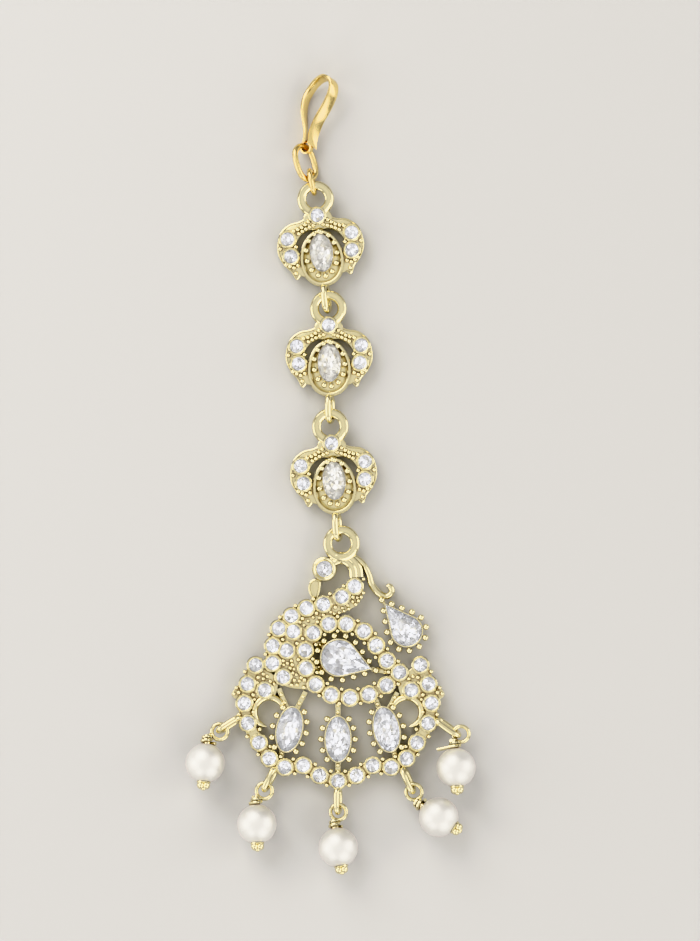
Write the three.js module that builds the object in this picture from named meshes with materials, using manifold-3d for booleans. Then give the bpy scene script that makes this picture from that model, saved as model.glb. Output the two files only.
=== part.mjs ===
// A maang tikka: a hair hook on two jump rings, three crown-shaped links set with stones,
// and a pierced peacock pendant with five pearl drops. It lies face up on a flat surface.
// Millimetres, +X to its right, +Y towards the hook, +Z up.
import * as THREE from "three";
import { mergeVertices } from "three/addons/utils/BufferGeometryUtils.js";
import Module from "manifold-3d";

const wasm = await Module();
wasm.setup();

// Levels shared by all pieces
const RING_MID = 1.55; // height of the flat rings' middle plane
const SLACK = 0.1; // clearance of a loose stone in its seat, or of a pearl on its pin

// Round stones
const PAVE_R = 0.88;
const PAVE_TABLE_R = 0.52;
const SEAT_WALL = 0.24;
const CROWN = 0.42;
const PAVILION = 0.35;
const GIRDLE = 0.1;
const CUT_SIDES = 8;

// Flat cast rings, of each link and of the pendant
const RING_OUT = 2.34;
const RING_HOLE = 1.2;
const RING_THICK = 1.1;

// Pendant plate
const PLATE_TOP = 1.6;
const HEAD_TOP = 2;
const BAND = 2.24; // width of a band under a row of pave stones
const GRAIN_R = 0.3;
const CLAW_R = 0.4;
const CLAW_WALL = 0.3; // wall round a stone that is held by claws

// Link plate
const LINK_BACK = 0.45;
const LINK_TOP = 1.9;

// Pearls and their wires
const PEARL_R = 2.55;
const PEARL_BORE = 0.34;
const PEARL_STEPS = 7;
const PIN_R = 0.2;
const EYE_R = 1.05;
const EYE_WIRE = 0.21;

// Hair hook ribbon
const RIBBON_WIDE = 1.3;
const RIBBON_THICK = 0.4;

const FINISH = {
  champagne: { color: "#d9c98a", roughness: 0.3, metalness: 1 },
  yellow: { color: "#d9a441", roughness: 0.25, metalness: 1 },
  crystal: { color: "#e6ebf4", roughness: 0.05, metalness: 0 },
  pearl: { color: "#f2ece0", roughness: 0.3, metalness: 0 },
};

const rad = THREE.MathUtils.degToRad;

// Solids from three.js geometry, joined and cut

function solidOf(geometry) {
  const bare = geometry.index ? geometry.toNonIndexed() : geometry.clone();
  bare.deleteAttribute("normal");
  bare.deleteAttribute("uv");
  const merged = mergeVertices(bare, 1e-4);
  return new wasm.Manifold(
    new wasm.Mesh({
      numProp: 3,
      vertProperties: merged.attributes.position.array,
      triVerts: Uint32Array.from(merged.index.array),
    }),
  );
}

function geometryOf(solid) {
  const mesh = solid.getMesh();
  const geometry = new THREE.BufferGeometry();
  const positions = Float32Array.from(mesh.vertProperties);
  geometry.setAttribute("position", new THREE.BufferAttribute(positions, 3));
  geometry.setIndex(Array.from(mesh.triVerts));
  geometry.computeVertexNormals();
  return geometry;
}

function join(geometries, cuts = []) {
  let solid = geometries.map(solidOf).reduce((all, next) => all.add(next));
  for (const cut of cuts) solid = solid.subtract(solidOf(cut));
  return geometryOf(solid);
}

function piece(parent, name, geometry, finish) {
  const mesh = new THREE.Mesh(geometry, new THREE.MeshStandardMaterial(FINISH[finish]));
  mesh.name = name;
  parent.add(mesh);
  return mesh;
}

// Flat outlines, as lists of Vector2

const flip = (rows) => rows.map(([x, ...rest]) => [-x, ...rest]);

function curveOf(rows, closed = false) {
  const points = rows.map(([x, y]) => new THREE.Vector3(x, y, 0));
  return new THREE.CatmullRomCurve3(points, closed, "centripetal");
}

function outlineOf(rows, count) {
  const points = curveOf(rows, true).getSpacedPoints(count).slice(0, count);
  return points.map((p) => new THREE.Vector2(p.x, p.y));
}

function ellipse(x, y, a, b, count, turn = 0) {
  return Array.from({ length: count }, (_, i) => {
    const t = (2 * Math.PI * i) / count;
    const p = new THREE.Vector2(a * Math.cos(t), b * Math.sin(t));
    return p.rotateAround(new THREE.Vector2(), rad(turn)).add(new THREE.Vector2(x, y));
  });
}

// A pear: an arc of radius r about (x, y), and two tangents that meet at a tip reach away.
function pear(x, y, r, reach, turn, arcSteps) {
  const open = Math.acos(r / reach);
  const points = [new THREE.Vector2(reach, 0)];
  for (let i = 0; i <= arcSteps; i++) {
    const t = open + (2 * (Math.PI - open) * i) / arcSteps;
    points.push(new THREE.Vector2(r * Math.cos(t), r * Math.sin(t)));
  }
  const centre = new THREE.Vector2(x, y);
  return points.map((p) => p.rotateAround(new THREE.Vector2(), rad(turn)).add(centre));
}

// Points at equal spacing along a closed outline, starting at its first point.
function spaced(outline, count) {
  const rows = outline.map((p) => new THREE.Vector3(p.x, p.y, 0));
  const path = new THREE.CurvePath();
  rows.forEach((p, i) => path.add(new THREE.LineCurve3(p, rows[(i + 1) % rows.length])));
  return Array.from({ length: count }, (_, i) => path.getPointAt(i / count));
}

// Solids on those outlines

function slab(outline, bottom, top, holes = []) {
  const shape = new THREE.Shape(outline);
  for (const hole of holes) shape.holes.push(new THREE.Path(hole));
  const geometry = new THREE.ExtrudeGeometry(shape, { depth: top - bottom, bevelEnabled: false });
  return geometry.translate(0, 0, bottom);
}

function disc(x, y, r, bottom, top, sides = 8) {
  return slab(ellipse(x, y, r, r, sides, 180 / sides), bottom, top);
}

// A flat strip along an open curve, widthAt(0..1) across.
function strip(curve, widthAt, bottom, top, steps) {
  const sides = [[], []];
  for (let i = 0; i <= steps; i++) {
    const p = curve.getPointAt(i / steps);
    const d = curve.getTangentAt(i / steps);
    const half = widthAt(i / steps) / 2;
    sides[0].push(new THREE.Vector2(p.x + d.y * half, p.y - d.x * half));
    sides[1].push(new THREE.Vector2(p.x - d.y * half, p.y + d.x * half));
  }
  return slab(sides[0].concat(sides[1].reverse()), bottom, top);
}

// The outline that runs round a closed row of points, out from it by a distance.
function outerEdge(rows, out, count) {
  const curve = curveOf(rows, true);
  const edge = Array.from({ length: count }, (_, i) => {
    const p = curve.getPointAt(i / count);
    const d = curve.getTangentAt(i / count);
    return new THREE.Vector2(p.x - d.y * out, p.y + d.x * out);
  });
  return THREE.ShapeUtils.isClockWise(edge) ? edge.reverse() : edge;
}

// A straight bar between two points of the plan.
function bar([x0, y0, x1, y1], width, bottom, top) {
  return strip(curveOf([[x0, y0], [x1, y1]]), () => width, bottom, top, 1);
}

function bead(x, y, z, r) {
  return new THREE.SphereGeometry(r, 6, 2).rotateX(Math.PI / 2).translate(x, y, z);
}

// A raised grain: a low four-sided point on a plate whose top is at z.
function grain(x, y, z) {
  const point = new THREE.ConeGeometry(GRAIN_R, 2 * GRAIN_R, 4);
  return point.rotateX(Math.PI / 2).translate(x, y, z + 0.5 * GRAIN_R);
}

// A stone cut with a flat table, a bevelled crown and pavilion, and a thin girdle at z.
function gem(outline, inset, crown, pavilion, z) {
  const geometry = new THREE.ExtrudeGeometry(new THREE.Shape(outline), {
    depth: GIRDLE,
    bevelEnabled: true,
    bevelSegments: 1,
    bevelThickness: crown,
    bevelSize: inset,
    bevelOffset: -inset,
  });
  const position = geometry.attributes.position;
  for (let i = 0; i < position.count; i++) {
    const level = position.getZ(i);
    if (level < 0) position.setZ(i, (level * pavilion) / crown);
  }
  return geometry.translate(0, 0, z);
}

function paveCut(x, y) {
  const cut = new THREE.CylinderGeometry(PAVE_TABLE_R, PAVE_R, CROWN, CUT_SIDES);
  cut.rotateX(Math.PI / 2).rotateZ(Math.PI / CUT_SIDES);
  return cut.translate(x, y, PLATE_TOP + CROWN / 2);
}

// A cast ring with chamfered edges, flat in the plan.
function flatRing(x, y) {
  const quarter = (RING_OUT - RING_HOLE) / 4;
  const profile = [
    [RING_HOLE, 0],
    [RING_HOLE + quarter, -RING_THICK / 2],
    [RING_OUT - quarter, -RING_THICK / 2],
    [RING_OUT, 0],
    [RING_OUT - quarter, RING_THICK / 2],
    [RING_HOLE + quarter, RING_THICK / 2],
    [RING_HOLE, 0],
  ].map(([r, h]) => new THREE.Vector2(r, h));
  return new THREE.LatheGeometry(profile, 14).rotateX(Math.PI / 2).translate(x, y, RING_MID);
}

// A wire ring of semi-axes a along Y and b along X, in the plan about the origin.
function wireRing(a, b, wire, steps = 10) {
  const ring = new THREE.TorusGeometry(b, wire, 5, steps);
  const position = ring.attributes.position;
  for (let i = 0; i < position.count; i++) {
    const share = THREE.MathUtils.clamp(position.getY(i) / (0.5 * b), -1, 1);
    position.setY(i, position.getY(i) + share * (a - b));
  }
  return ring;
}

// A cast wire loop standing on edge from (x0, y0) to (x1, y1), leaning by lean degrees.
function standingLoop([x0, y0, x1, y1], tall, wire, lean) {
  const reach = Math.hypot(x1 - x0, y1 - y0) / 2 - wire;
  return wireRing(reach, tall / 2 - wire, wire)
    .rotateY(rad(90 + lean))
    .rotateZ(Math.atan2(y1 - y0, x1 - x0) - Math.PI / 2)
    .translate((x0 + x1) / 2, (y0 + y1) / 2, RING_MID);
}

function rod(from, to, r, sides = 6) {
  const along = to.clone().sub(from);
  const turn = new THREE.Quaternion().setFromUnitVectors(
    new THREE.Vector3(0, 1, 0),
    along.clone().normalize(),
  );
  const middle = from.clone().add(to).multiplyScalar(0.5);
  return new THREE.CylinderGeometry(r, r, along.length(), sides)
    .applyQuaternion(turn)
    .translate(middle.x, middle.y, middle.z);
}

const tikka = new THREE.Group();

// Hair hook: a ribbon bent to a teardrop, seen on its edge, and curled to an eye below.
// Its plane leans so that the right side stands up, and its eye end is lifted by the ring.

const HOOK = { x: -3, y: 48.75, lean: 35, pitch: 6.5 };

// Middle line of the ribbon in the hook's own plane, from the free tip round to the eye
const HOOK_LINE = [
  // across, along
  [0.98, -5.2],
  [1.05, -4.3],
  [1.7, -2.9],
  [2.85, -1.5],
  [3.95, -0.2],
  [4.45, 1.4],
  [4.05, 2.7],
  [3.05, 3.2],
  [1.8, 2.5],
  [0.65, 1.3],
  [0.22, 0],
  [0.35, -1.4],
  [0.6, -2.8],
  [0.62, -4.2],
  [0.42, -5.3],
];
const HOOK_EYE = { across: -0.16, along: -5.98, r: 0.74, wide: 0.7, thick: 0.32 };

function makeHook() {
  const group = new THREE.Group();
  const loop = strip(curveOf(HOOK_LINE), () => RIBBON_THICK, 0, RIBBON_WIDE, 36);
  const curl = ellipse(HOOK_EYE.across, HOOK_EYE.along, HOOK_EYE.r, HOOK_EYE.r, 13);
  const hole = HOOK_EYE.r - HOOK_EYE.thick / 2;
  const rim = HOOK_EYE.r + HOOK_EYE.thick / 2;
  const low = (RIBBON_WIDE - HOOK_EYE.wide) / 2;
  const eye = slab(
    ellipse(HOOK_EYE.across, HOOK_EYE.along, rim, rim, 12),
    low,
    low + HOOK_EYE.wide,
    [ellipse(HOOK_EYE.across, HOOK_EYE.along, hole, hole, 12)],
  );
  const stem = bar([0.42, -5.1, curl[1].x, curl[1].y], HOOK_EYE.thick, low, low + HOOK_EYE.wide);
  piece(group, "hair_hook", join([loop, eye, stem]), "yellow");
  group.rotation.set(rad(-HOOK.pitch), rad(-HOOK.lean), 0);
  group.position.set(HOOK.x, HOOK.y, 0);
  return group;
}
tikka.add(makeHook());

// Jump rings: an oval one through the hook's eye, and a smaller one on edge below it

const JUMP_RINGS = [
  // name, x, y, z, half length, half width, wire radius, turn in the plan, lean about its length
  ["jump_ring_1", -3.3, 40.75, 1.5, 2.18, 1.53, 0.3, 16, 45],
  ["jump_ring_2", -2.45, 38.22, RING_MID, 1.5, 1.2, 0.3, 12, 90],
];
for (const [name, x, y, z, a, b, wire, turn, lean] of JUMP_RINGS) {
  const ring = piece(tikka, name, wireRing(a, b, wire, 14), "yellow");
  ring.rotation.set(0, rad(lean), rad(turn), "ZYX");
  ring.position.set(x, y, z);
}

// Links: a flat ring, a crown of two lobes round an egg-shaped bezel, and a loop on edge.
// Each link's own frame has its centre stone at the origin and its ring towards +Y.

const LINKS = [
  // x, y of the centre stone, turn in the plan
  [-1.21, 28.98, 6.2],
  [-0.18, 14.65, 1],
  [0.45, -0.7, 4],
];
const LINK_RING_Y = 7.05;
const LINK_LOOP = [0, -3.9, 0, -8];
const LOOP_TALL = 3;
const LOOP_WIRE = 0.31;
const LOOP_LEAN = 22;

// Right half of the crown's outline, from the top stone round to the wing tip
const CROWN_SIDE = [
  [1.3, 4.9],
  [2.5, 4.05],
  [3.9, 3.85],
  [5.1, 2.95],
  [5.62, 1.5],
  [5.6, 0.1],
  [4.95, -1.15],
  [4.15, -2.1],
  [3.6, -3.3],
  [2.9, -3],
  [1.5, -2.8],
];
// Right pierced crescent between the lobe and the bezel
const CRESCENT = [
  [1.35, 2.95],
  [2.5, 2.4],
  [3.2, 1.4],
  [3.25, 0.45],
  [2.95, -0.5],
  [2.78, 0.4],
  [2.3, 1.75],
];
const LINK_STONES = [
  // name, x, y
  ["top", 0, 4.85],
  ["side_1", -4.2, 2.2],
  ["side_2", -4, -0.1],
  ["side_3", 4.2, 2.2],
  ["side_4", 4, -0.1],
];
const EGG = { y: -0.7, a: 2.79, b: 3.6, wall: 0.42, taper: 0.1, top: 2.35 };
const OVAL_SMALL = { a: 1.5, b: 2.5, inset: 0.55, crown: 0.75, pavilion: 0.6, girdle: 1.95 };
const BEZEL_FLOOR = 1.5;
const BEZEL_BEADS = { y: -0.22, a: 2.1, b: 2.98, count: 12, r: 0.32, z: 1.8 };
const PIT = { wide: 0.26, long: 0.42 };

function egg(shrink) {
  return ellipse(0, EGG.y, EGG.a - shrink, EGG.b - shrink, 16).map((p) => {
    const height = (p.y - EGG.y) / EGG.b;
    return new THREE.Vector2(p.x * (1 - EGG.taper * height), p.y);
  });
}

// The hollow under a round stone whose girdle is level with a top face.
function hollowFor(x, y, r, top, sides) {
  return disc(x, y, r + SLACK, top - PAVILION - SLACK, top + 1, sides);
}

function makeLinkCasting() {
  const side = CROWN_SIDE.map(([x, y]) => new THREE.Vector2(x, y));
  const crown = slab(
    side.concat(side.map((p) => new THREE.Vector2(-p.x, p.y)).reverse()),
    LINK_BACK,
    LINK_TOP,
  );
  const hollows = LINK_STONES.map(([, x, y]) => hollowFor(x, y, PAVE_R, LINK_TOP));
  const wall = slab(egg(0), LINK_BACK, EGG.top);
  const { a, b, girdle, pavilion } = OVAL_SMALL;
  const seat = slab(ellipse(0, 0, a + SEAT_WALL, b + SEAT_WALL, 12), LINK_BACK, girdle + 0.05);
  const hollow = slab(ellipse(0, 0, a + SLACK, b + SLACK, 12), girdle - pavilion - SLACK, 4);
  const { y, count, r, z, ...ring } = BEZEL_BEADS;
  const beads = ellipse(0, y, ring.a, ring.b, count).map((p) => bead(p.x, p.y, z, r));
  // Pits between the beads, pierced through the bezel's floor, but for the two by the top bead
  const turn = 180 / count;
  const pits = Array.from({ length: count }, (_, i) => rad((2 * i + 1) * turn))
    .filter((t) => Math.sin(t) < 0.9)
    .map((t) => {
      const x = ring.a * Math.cos(t);
      const slope = (Math.atan2(ring.a * Math.sin(t), ring.b * Math.cos(t)) * 180) / Math.PI;
      const pit = ellipse(x, y + ring.b * Math.sin(t), PIT.wide, PIT.long / 2, 4, slope);
      return slab(pit, 0, 4);
    });
  const pierced = [CRESCENT, flip(CRESCENT)].map((rows) => slab(outlineOf(rows, 12), 0, 4));
  const frame = join([crown, wall], pierced.concat(slab(egg(EGG.wall), BEZEL_FLOOR, 4)));
  return join(
    [frame, seat, flatRing(0, LINK_RING_Y)].concat(
      beads,
      standingLoop(LINK_LOOP, LOOP_TALL, LOOP_WIRE, LOOP_LEAN),
    ),
    hollows.concat(hollow, pits),
  );
}

function makeLink(number, x, y, turn) {
  const group = new THREE.Group();
  const name = "link_" + number;
  piece(group, name, makeLinkCasting(), "champagne");
  const { a, b, inset, crown, pavilion, girdle } = OVAL_SMALL;
  const centre = gem(ellipse(0, 0, a, b, 12), inset, crown, pavilion, girdle);
  piece(group, name + "_stone_centre", centre, "crystal");
  for (const [place, sx, sy] of LINK_STONES) {
    const outline = ellipse(sx, sy, PAVE_R, PAVE_R, CUT_SIDES, 22.5);
    const stone = gem(outline, PAVE_R - PAVE_TABLE_R, CROWN, PAVILION, LINK_TOP);
    piece(group, name + "_stone_" + place, stone, "crystal");
  }
  group.position.set(x, y, 0);
  group.rotation.z = rad(turn);
  return group;
}
LINKS.forEach(([x, y, turn], i) => tikka.add(makeLink(i + 1, x, y, turn)));

// Pendant: one casting, in its own frame. The peacock's body is a teardrop ring of stones
// round a pear stone, its neck rises to the bail ring, and a scalloped rim hangs below it.

const PENDANT = { x: 0.96, y: -24.08 };
const BAIL = { x: 0.45, y: 15.2 };
const HEAD = { x: -1.76, y: 11.9, r: 1.05, wall: 0.5 };

const BACK_ROW = [
  [2.16, 9.67],
  [0.5, 8.3],
  [-1.9, 7.35],
  [-4.1, 6.85],
  [-6.05, 5.8],
  [-7.7, 4.2],
  [-8.45, 1.95],
  [-8.5, -0.3],
];
const SECOND_ROW = [
  [-5.8, 3.8],
  [-6.65, 1.35],
  [-7.1, -2.1],
];
const BODY_RING = [
  [-3.2, 3.65],
  [-1.2, 4.8],
  [1.1, 4.8],
  [3.35, 3.85],
  [4.95, 2.0],
  [6.35, 0.0],
  [8.0, -1.5],
  [6.3, -3.15],
  [4.0, -4.35],
  [1.55, -4.8],
  [-0.9, -4.4],
  [-2.9, -3.05],
  [-4.15, -0.95],
  [-4.25, 1.35],
];
// Opening of the ring, round the pear stone's setting
const BODY_OPENING = [
  [-3.1, 0.3],
  [-2.2, 2.7],
  [0, 3.7],
  [2.3, 3.2],
  [4, 1.4],
  [5.3, -0.3],
  [6.6, -1.6],
  [5.6, -2.4],
  [3.9, -3.25],
  [1.6, -3.7],
  [-0.7, -3.25],
  [-2.3, -2.1],
];
// Right half of the wing and the scalloped rim, down to the middle stone
const EDGE_ROW = [
  [10.7, -0.55],
  [11.75, -3],
  [12.15, -5.5],
  [11.7, -8.1],
  [10.25, -10.6],
  [8.9, -12.65],
  [6.9, -13.8],
  [4.5, -13.55],
  [2.4, -14.85],
  [0, -15.55],
];
const INNER_STONE = [9.5, -3.8];

// Plain smooth bands: x, y, width
const NECK = [
  [-1.0, 12.9, 0.9],
  [0.3, 13.4, 1.2],
  [1.5, 13.0, 1.4],
  [2.25, 12.0, 1.5],
  [2.45, 10.9, 1.6],
  [2.2, 9.7, 1.7],
];
const TAIL_SCROLL = [
  [1.8, 13.5, 0.9],
  [3.2, 12.7, 0.8],
  [4.0, 11.2, 0.75],
  [4.35, 10.0, 0.8],
  [5.2, 8.85, 0.85],
  [6.3, 8.3, 0.85],
  [6.95, 9.0, 0.6],
  [6.65, 9.75, 0.55],
];
const BEAK = [
  [-2.9, 10.7, 0.7],
  [-3.7, 9.7, 1.0],
  [-3.5, 8.6, 0.8],
  [-2.9, 7.6, 0.6],
];
// Solid fields between the rows
const BREAST = [
  [-7.4, 3.6],
  [-8.2, 0.2],
  [-7.4, -2.9],
  [-5, -3.7],
  [-3.2, -3.3],
  [-4.4, 0],
  [-3.4, 3.4],
  [-1.5, 5.2],
  [2.2, 7],
  [3.1, 8.4],
  [3.3, 9.6],
  [2.4, 9.8],
  [-2, 6.9],
  [-5.8, 5.4],
];
const WING_ROOT = [
  [7.8, -2.5],
  [9.2, -1.2],
  [10.8, -0.6],
  [11.6, -3],
  [11.8, -5.2],
  [10.6, -5.4],
  [9.4, -4.8],
  [8.2, -4.6],
];
const EAR = [13.2, -4.1, 0.75]; // the small leaf at the wing's widest point: x, y, radius
const LEFT_BRIDGE = [-8.6, -0.4, -10.4, -0.5];
const ROUND_HOLE = { x: 8.95, y: -6.65, r: 1.62, band: 0.6, from: -80, to: 165 };
const STRUTS = [
  // x0, y0, x1, y1
  [4.6, -4.3, 5.35, -6.2],
  [7.7, -4.1, 6.6, -6.2],
  [-4.2, -4.0, -5.35, -6.2],
  [-7.7, -3.6, -6.6, -6.2],
  [0, -5, 0, -7.4],
  [0, -12.9, 0, -15],
  [7.2, -11.4, 7.6, -13.4],
  [-7.2, -11.4, -7.6, -13.4],
  [-1.8, 1.8, -3.6, 2.7],
  [-1.9, -0.7, -3.8, -1.1],
  [4.4, -1.1, 7, -1.5],
];

const OVAL = { a: 1.62, b: 2.9, inset: 0.6, crown: 0.85, pavilion: 0.7, girdle: 1.95 };
const OVALS = [
  // name, x, y, turn
  ["left", -6.3, -8.9, -12],
  ["middle", 0, -10.15, 0],
  ["right", 6.3, -8.9, 12],
];
const OVAL_CLAWS = { a: 2.2, b: 3.4, angles: [-47, -23, 0, 23, 47] };
const PEARS = [
  // name, x, y, r, tip distance, turn, crown height, girdle height
  ["body", 0.13, 0.39, 2.3, 4.3, -19, 1.05, 2.2],
  ["tail", 8.93, 3.85, 1.95, 4.45, 129, 0.85, 1.95],
];
const PEAR_CLAWS = 14;
const PEAR_INSET = 0.75;
const NECK_GRAINS = [
  [3.25, 10.5],
  [3.2, 9.4],
  [3.3, 8.5],
  [2.9, 7.65],
  [2.3, 6.95],
];

// Cast loops on the rim and what hangs in them
const DROPS = [
  // rim x, y, loop end x, y, eye x, y, pearl x, y, pin direction in degrees
  [-12.5, -7.2, -15.8, -9.3, -15.35, -9.2, -17.2, -13.23, -94],
  [-8, -13.7, -9.7, -17.05, -9.55, -16.86, -10.5, -21.11, -88],
  [0, -16.2, 0, -20, 0.05, -19.6, 0.03, -24.12, -81],
  [8.3, -13.7, 9.9, -17.3, 9.85, -17, 13.03, -20.19, -33],
  [12.5, -7.4, 15.95, -9.85, 15.95, -9.5, 15.28, -13.82, -87],
];
const RIM_LOOP_TALL = 2.3;
const RIM_LOOP_WIRE = 0.25;

function taperedBand(rows, bottom, top, steps) {
  const widths = rows.map((row) => row[2]);
  const widthAt = (t) => {
    const at = t * (widths.length - 1);
    const i = Math.min(Math.floor(at), widths.length - 2);
    return THREE.MathUtils.lerp(widths[i], widths[i + 1], at - i);
  };
  return strip(curveOf(rows), widthAt, bottom, top, steps);
}

// Grains in the notches between neighbouring stones of a row, on both sides of it.
function grainsBetween(rows, closed) {
  const grains = [];
  const count = closed ? rows.length : rows.length - 1;
  for (let i = 0; i < count; i++) {
    const [x0, y0] = rows[i];
    const [x1, y1] = rows[(i + 1) % rows.length];
    const length = Math.hypot(x1 - x0, y1 - y0);
    for (const side of [-1, 1]) {
      const x = (x0 + x1) / 2 - (side * (y1 - y0)) / length;
      const y = (y0 + y1) / 2 + (side * (x1 - x0)) / length;
      grains.push(grain(x, y, PLATE_TOP));
    }
  }
  return grains;
}

function ovalSetting([, x, y, turn]) {
  const { a, b, pavilion, girdle } = OVAL;
  const parts = [slab(ellipse(x, y, a + CLAW_WALL, b + CLAW_WALL, 14, turn), 0, girdle)];
  for (const half of [0, 180]) {
    for (const angle of OVAL_CLAWS.angles) {
      const t = rad(angle + half);
      const p = new THREE.Vector2(OVAL_CLAWS.a * Math.cos(t), OVAL_CLAWS.b * Math.sin(t));
      p.rotateAround(new THREE.Vector2(), rad(turn));
      parts.push(bead(x + p.x, y + p.y, girdle - 0.3, CLAW_R));
    }
  }
  const hollow = slab(
    ellipse(x, y, a + SLACK, b + SLACK, 14, turn),
    girdle - pavilion - SLACK,
    girdle + 2,
  );
  return { parts, hollow };
}

function pearSetting([, x, y, r, reach, turn, , girdle]) {
  const outer = pear(x, y, r + CLAW_WALL, reach + 1.3 * CLAW_WALL, turn, 12);
  const parts = [slab(outer, 0, girdle)];
  for (const p of spaced(pear(x, y, r + 0.6, reach + 0.7, turn, 12), PEAR_CLAWS)) {
    parts.push(bead(p.x, p.y, girdle - 0.3, CLAW_R));
  }
  const hollow = slab(
    pear(x, y, r + SLACK, reach + 1.6 * SLACK, turn, 12),
    girdle - OVAL.pavilion - SLACK,
    girdle + 2,
  );
  return { parts, hollow };
}

function makePendantCasting() {
  const edge = flip(EDGE_ROW).concat(EDGE_ROW.slice(0, -1).reverse());
  const stones = [BACK_ROW, SECOND_ROW, BODY_RING, edge, [INNER_STONE], flip([INNER_STONE])].flat();
  const band = () => BAND;
  const parts = [
    strip(curveOf(BACK_ROW), band, 0, PLATE_TOP, 14),
    strip(curveOf(SECOND_ROW), band, 0, PLATE_TOP, 6),
    slab(outerEdge(BODY_RING, BAND / 2, 26), 0, PLATE_TOP, [outlineOf(BODY_OPENING, 20)]),
    strip(curveOf(edge), band, 0, PLATE_TOP, 34),
    slab(outlineOf(BREAST, 24), 0, PLATE_TOP),
    bar(LEFT_BRIDGE, BAND, 0, PLATE_TOP),
    taperedBand(NECK, 0, PLATE_TOP, 12),
    taperedBand(TAIL_SCROLL, 0, PLATE_TOP, 20),
    taperedBand(BEAK, 0, PLATE_TOP, 8),
    disc(HEAD.x, HEAD.y, HEAD.r + HEAD.wall, 0, HEAD_TOP, 12),
    flatRing(BAIL.x, BAIL.y),
  ];
  for (const side of [1, -1]) {
    const mirror = side < 0 ? flip : (rows) => rows;
    const hole = ROUND_HOLE;
    const arc = Array.from({ length: 9 }, (_, i) => {
      const t = rad(THREE.MathUtils.lerp(hole.from, hole.to, i / 8));
      const r = hole.r + hole.band / 2;
      return [hole.x + r * Math.cos(t), hole.y + r * Math.sin(t), i ? hole.band : 0.1];
    });
    parts.push(slab(outlineOf(mirror(WING_ROOT), 14), 0, PLATE_TOP));
    parts.push(taperedBand(mirror(arc), 0, PLATE_TOP, 14));
    parts.push(disc(side * EAR[0], EAR[1], EAR[2], 0, PLATE_TOP, 8));
  }
  for (const strut of STRUTS) parts.push(bar(strut, 0.7, 0, PLATE_TOP));
  for (const [x, y] of stones) parts.push(paveCut(x, y));
  parts.push(...grainsBetween(BACK_ROW, false), ...grainsBetween(BODY_RING, true));
  parts.push(...grainsBetween(edge, false));
  for (const [x, y] of NECK_GRAINS) parts.push(bead(x, y, PLATE_TOP, CLAW_R));
  for (const [x0, y0, x1, y1] of DROPS) {
    parts.push(standingLoop([x0, y0, x1, y1], RIM_LOOP_TALL, RIM_LOOP_WIRE, LOOP_LEAN));
  }
  const settings = OVALS.map(ovalSetting).concat(PEARS.map(pearSetting));
  const headHollow = hollowFor(HEAD.x, HEAD.y, HEAD.r, HEAD_TOP, 12);
  const hollows = settings.map((s) => s.hollow).concat(headHollow);
  return join(parts.concat(settings.flatMap((s) => s.parts)), hollows);
}

function makePendantStones(group) {
  for (const [name, x, y, turn] of OVALS) {
    const { a, b, inset, crown, pavilion, girdle } = OVAL;
    const stone = gem(ellipse(x, y, a, b, 12, turn), inset, crown, pavilion, girdle);
    piece(group, "pendant_stone_" + name, stone, "crystal");
  }
  for (const [name, x, y, r, reach, turn, crown, girdle] of PEARS) {
    const outline = pear(x, y, r, reach, turn, 11);
    const stone = gem(outline, PEAR_INSET, crown, OVAL.pavilion, girdle);
    piece(group, "pendant_stone_" + name, stone, "crystal");
  }
  const head = ellipse(HEAD.x, HEAD.y, HEAD.r, HEAD.r, 10);
  const stone = gem(head, 0.4, CROWN, PAVILION, HEAD_TOP);
  piece(group, "pendant_stone_head", stone, "crystal");
}

// Drops: a wire with an eye, a wrapped collar, a pin through the pearl, and an end cap.
// The pin's own frame has the pearl's centre at the origin and the cap towards +X.

const PIN_RISE = 9; // degrees by which the pin climbs from the collar to the cap
const COLLAR = { from: 2.68, length: 0.85, r: 0.72, waist: 0.48 };
const CAP = { from: 2.66, length: 1.0, r: 0.82 };

function turnedOnX(rows, segments) {
  const profile = rows.map(([along, r]) => new THREE.Vector2(r, along));
  return new THREE.LatheGeometry(profile, segments).rotateZ(-Math.PI / 2);
}

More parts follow.
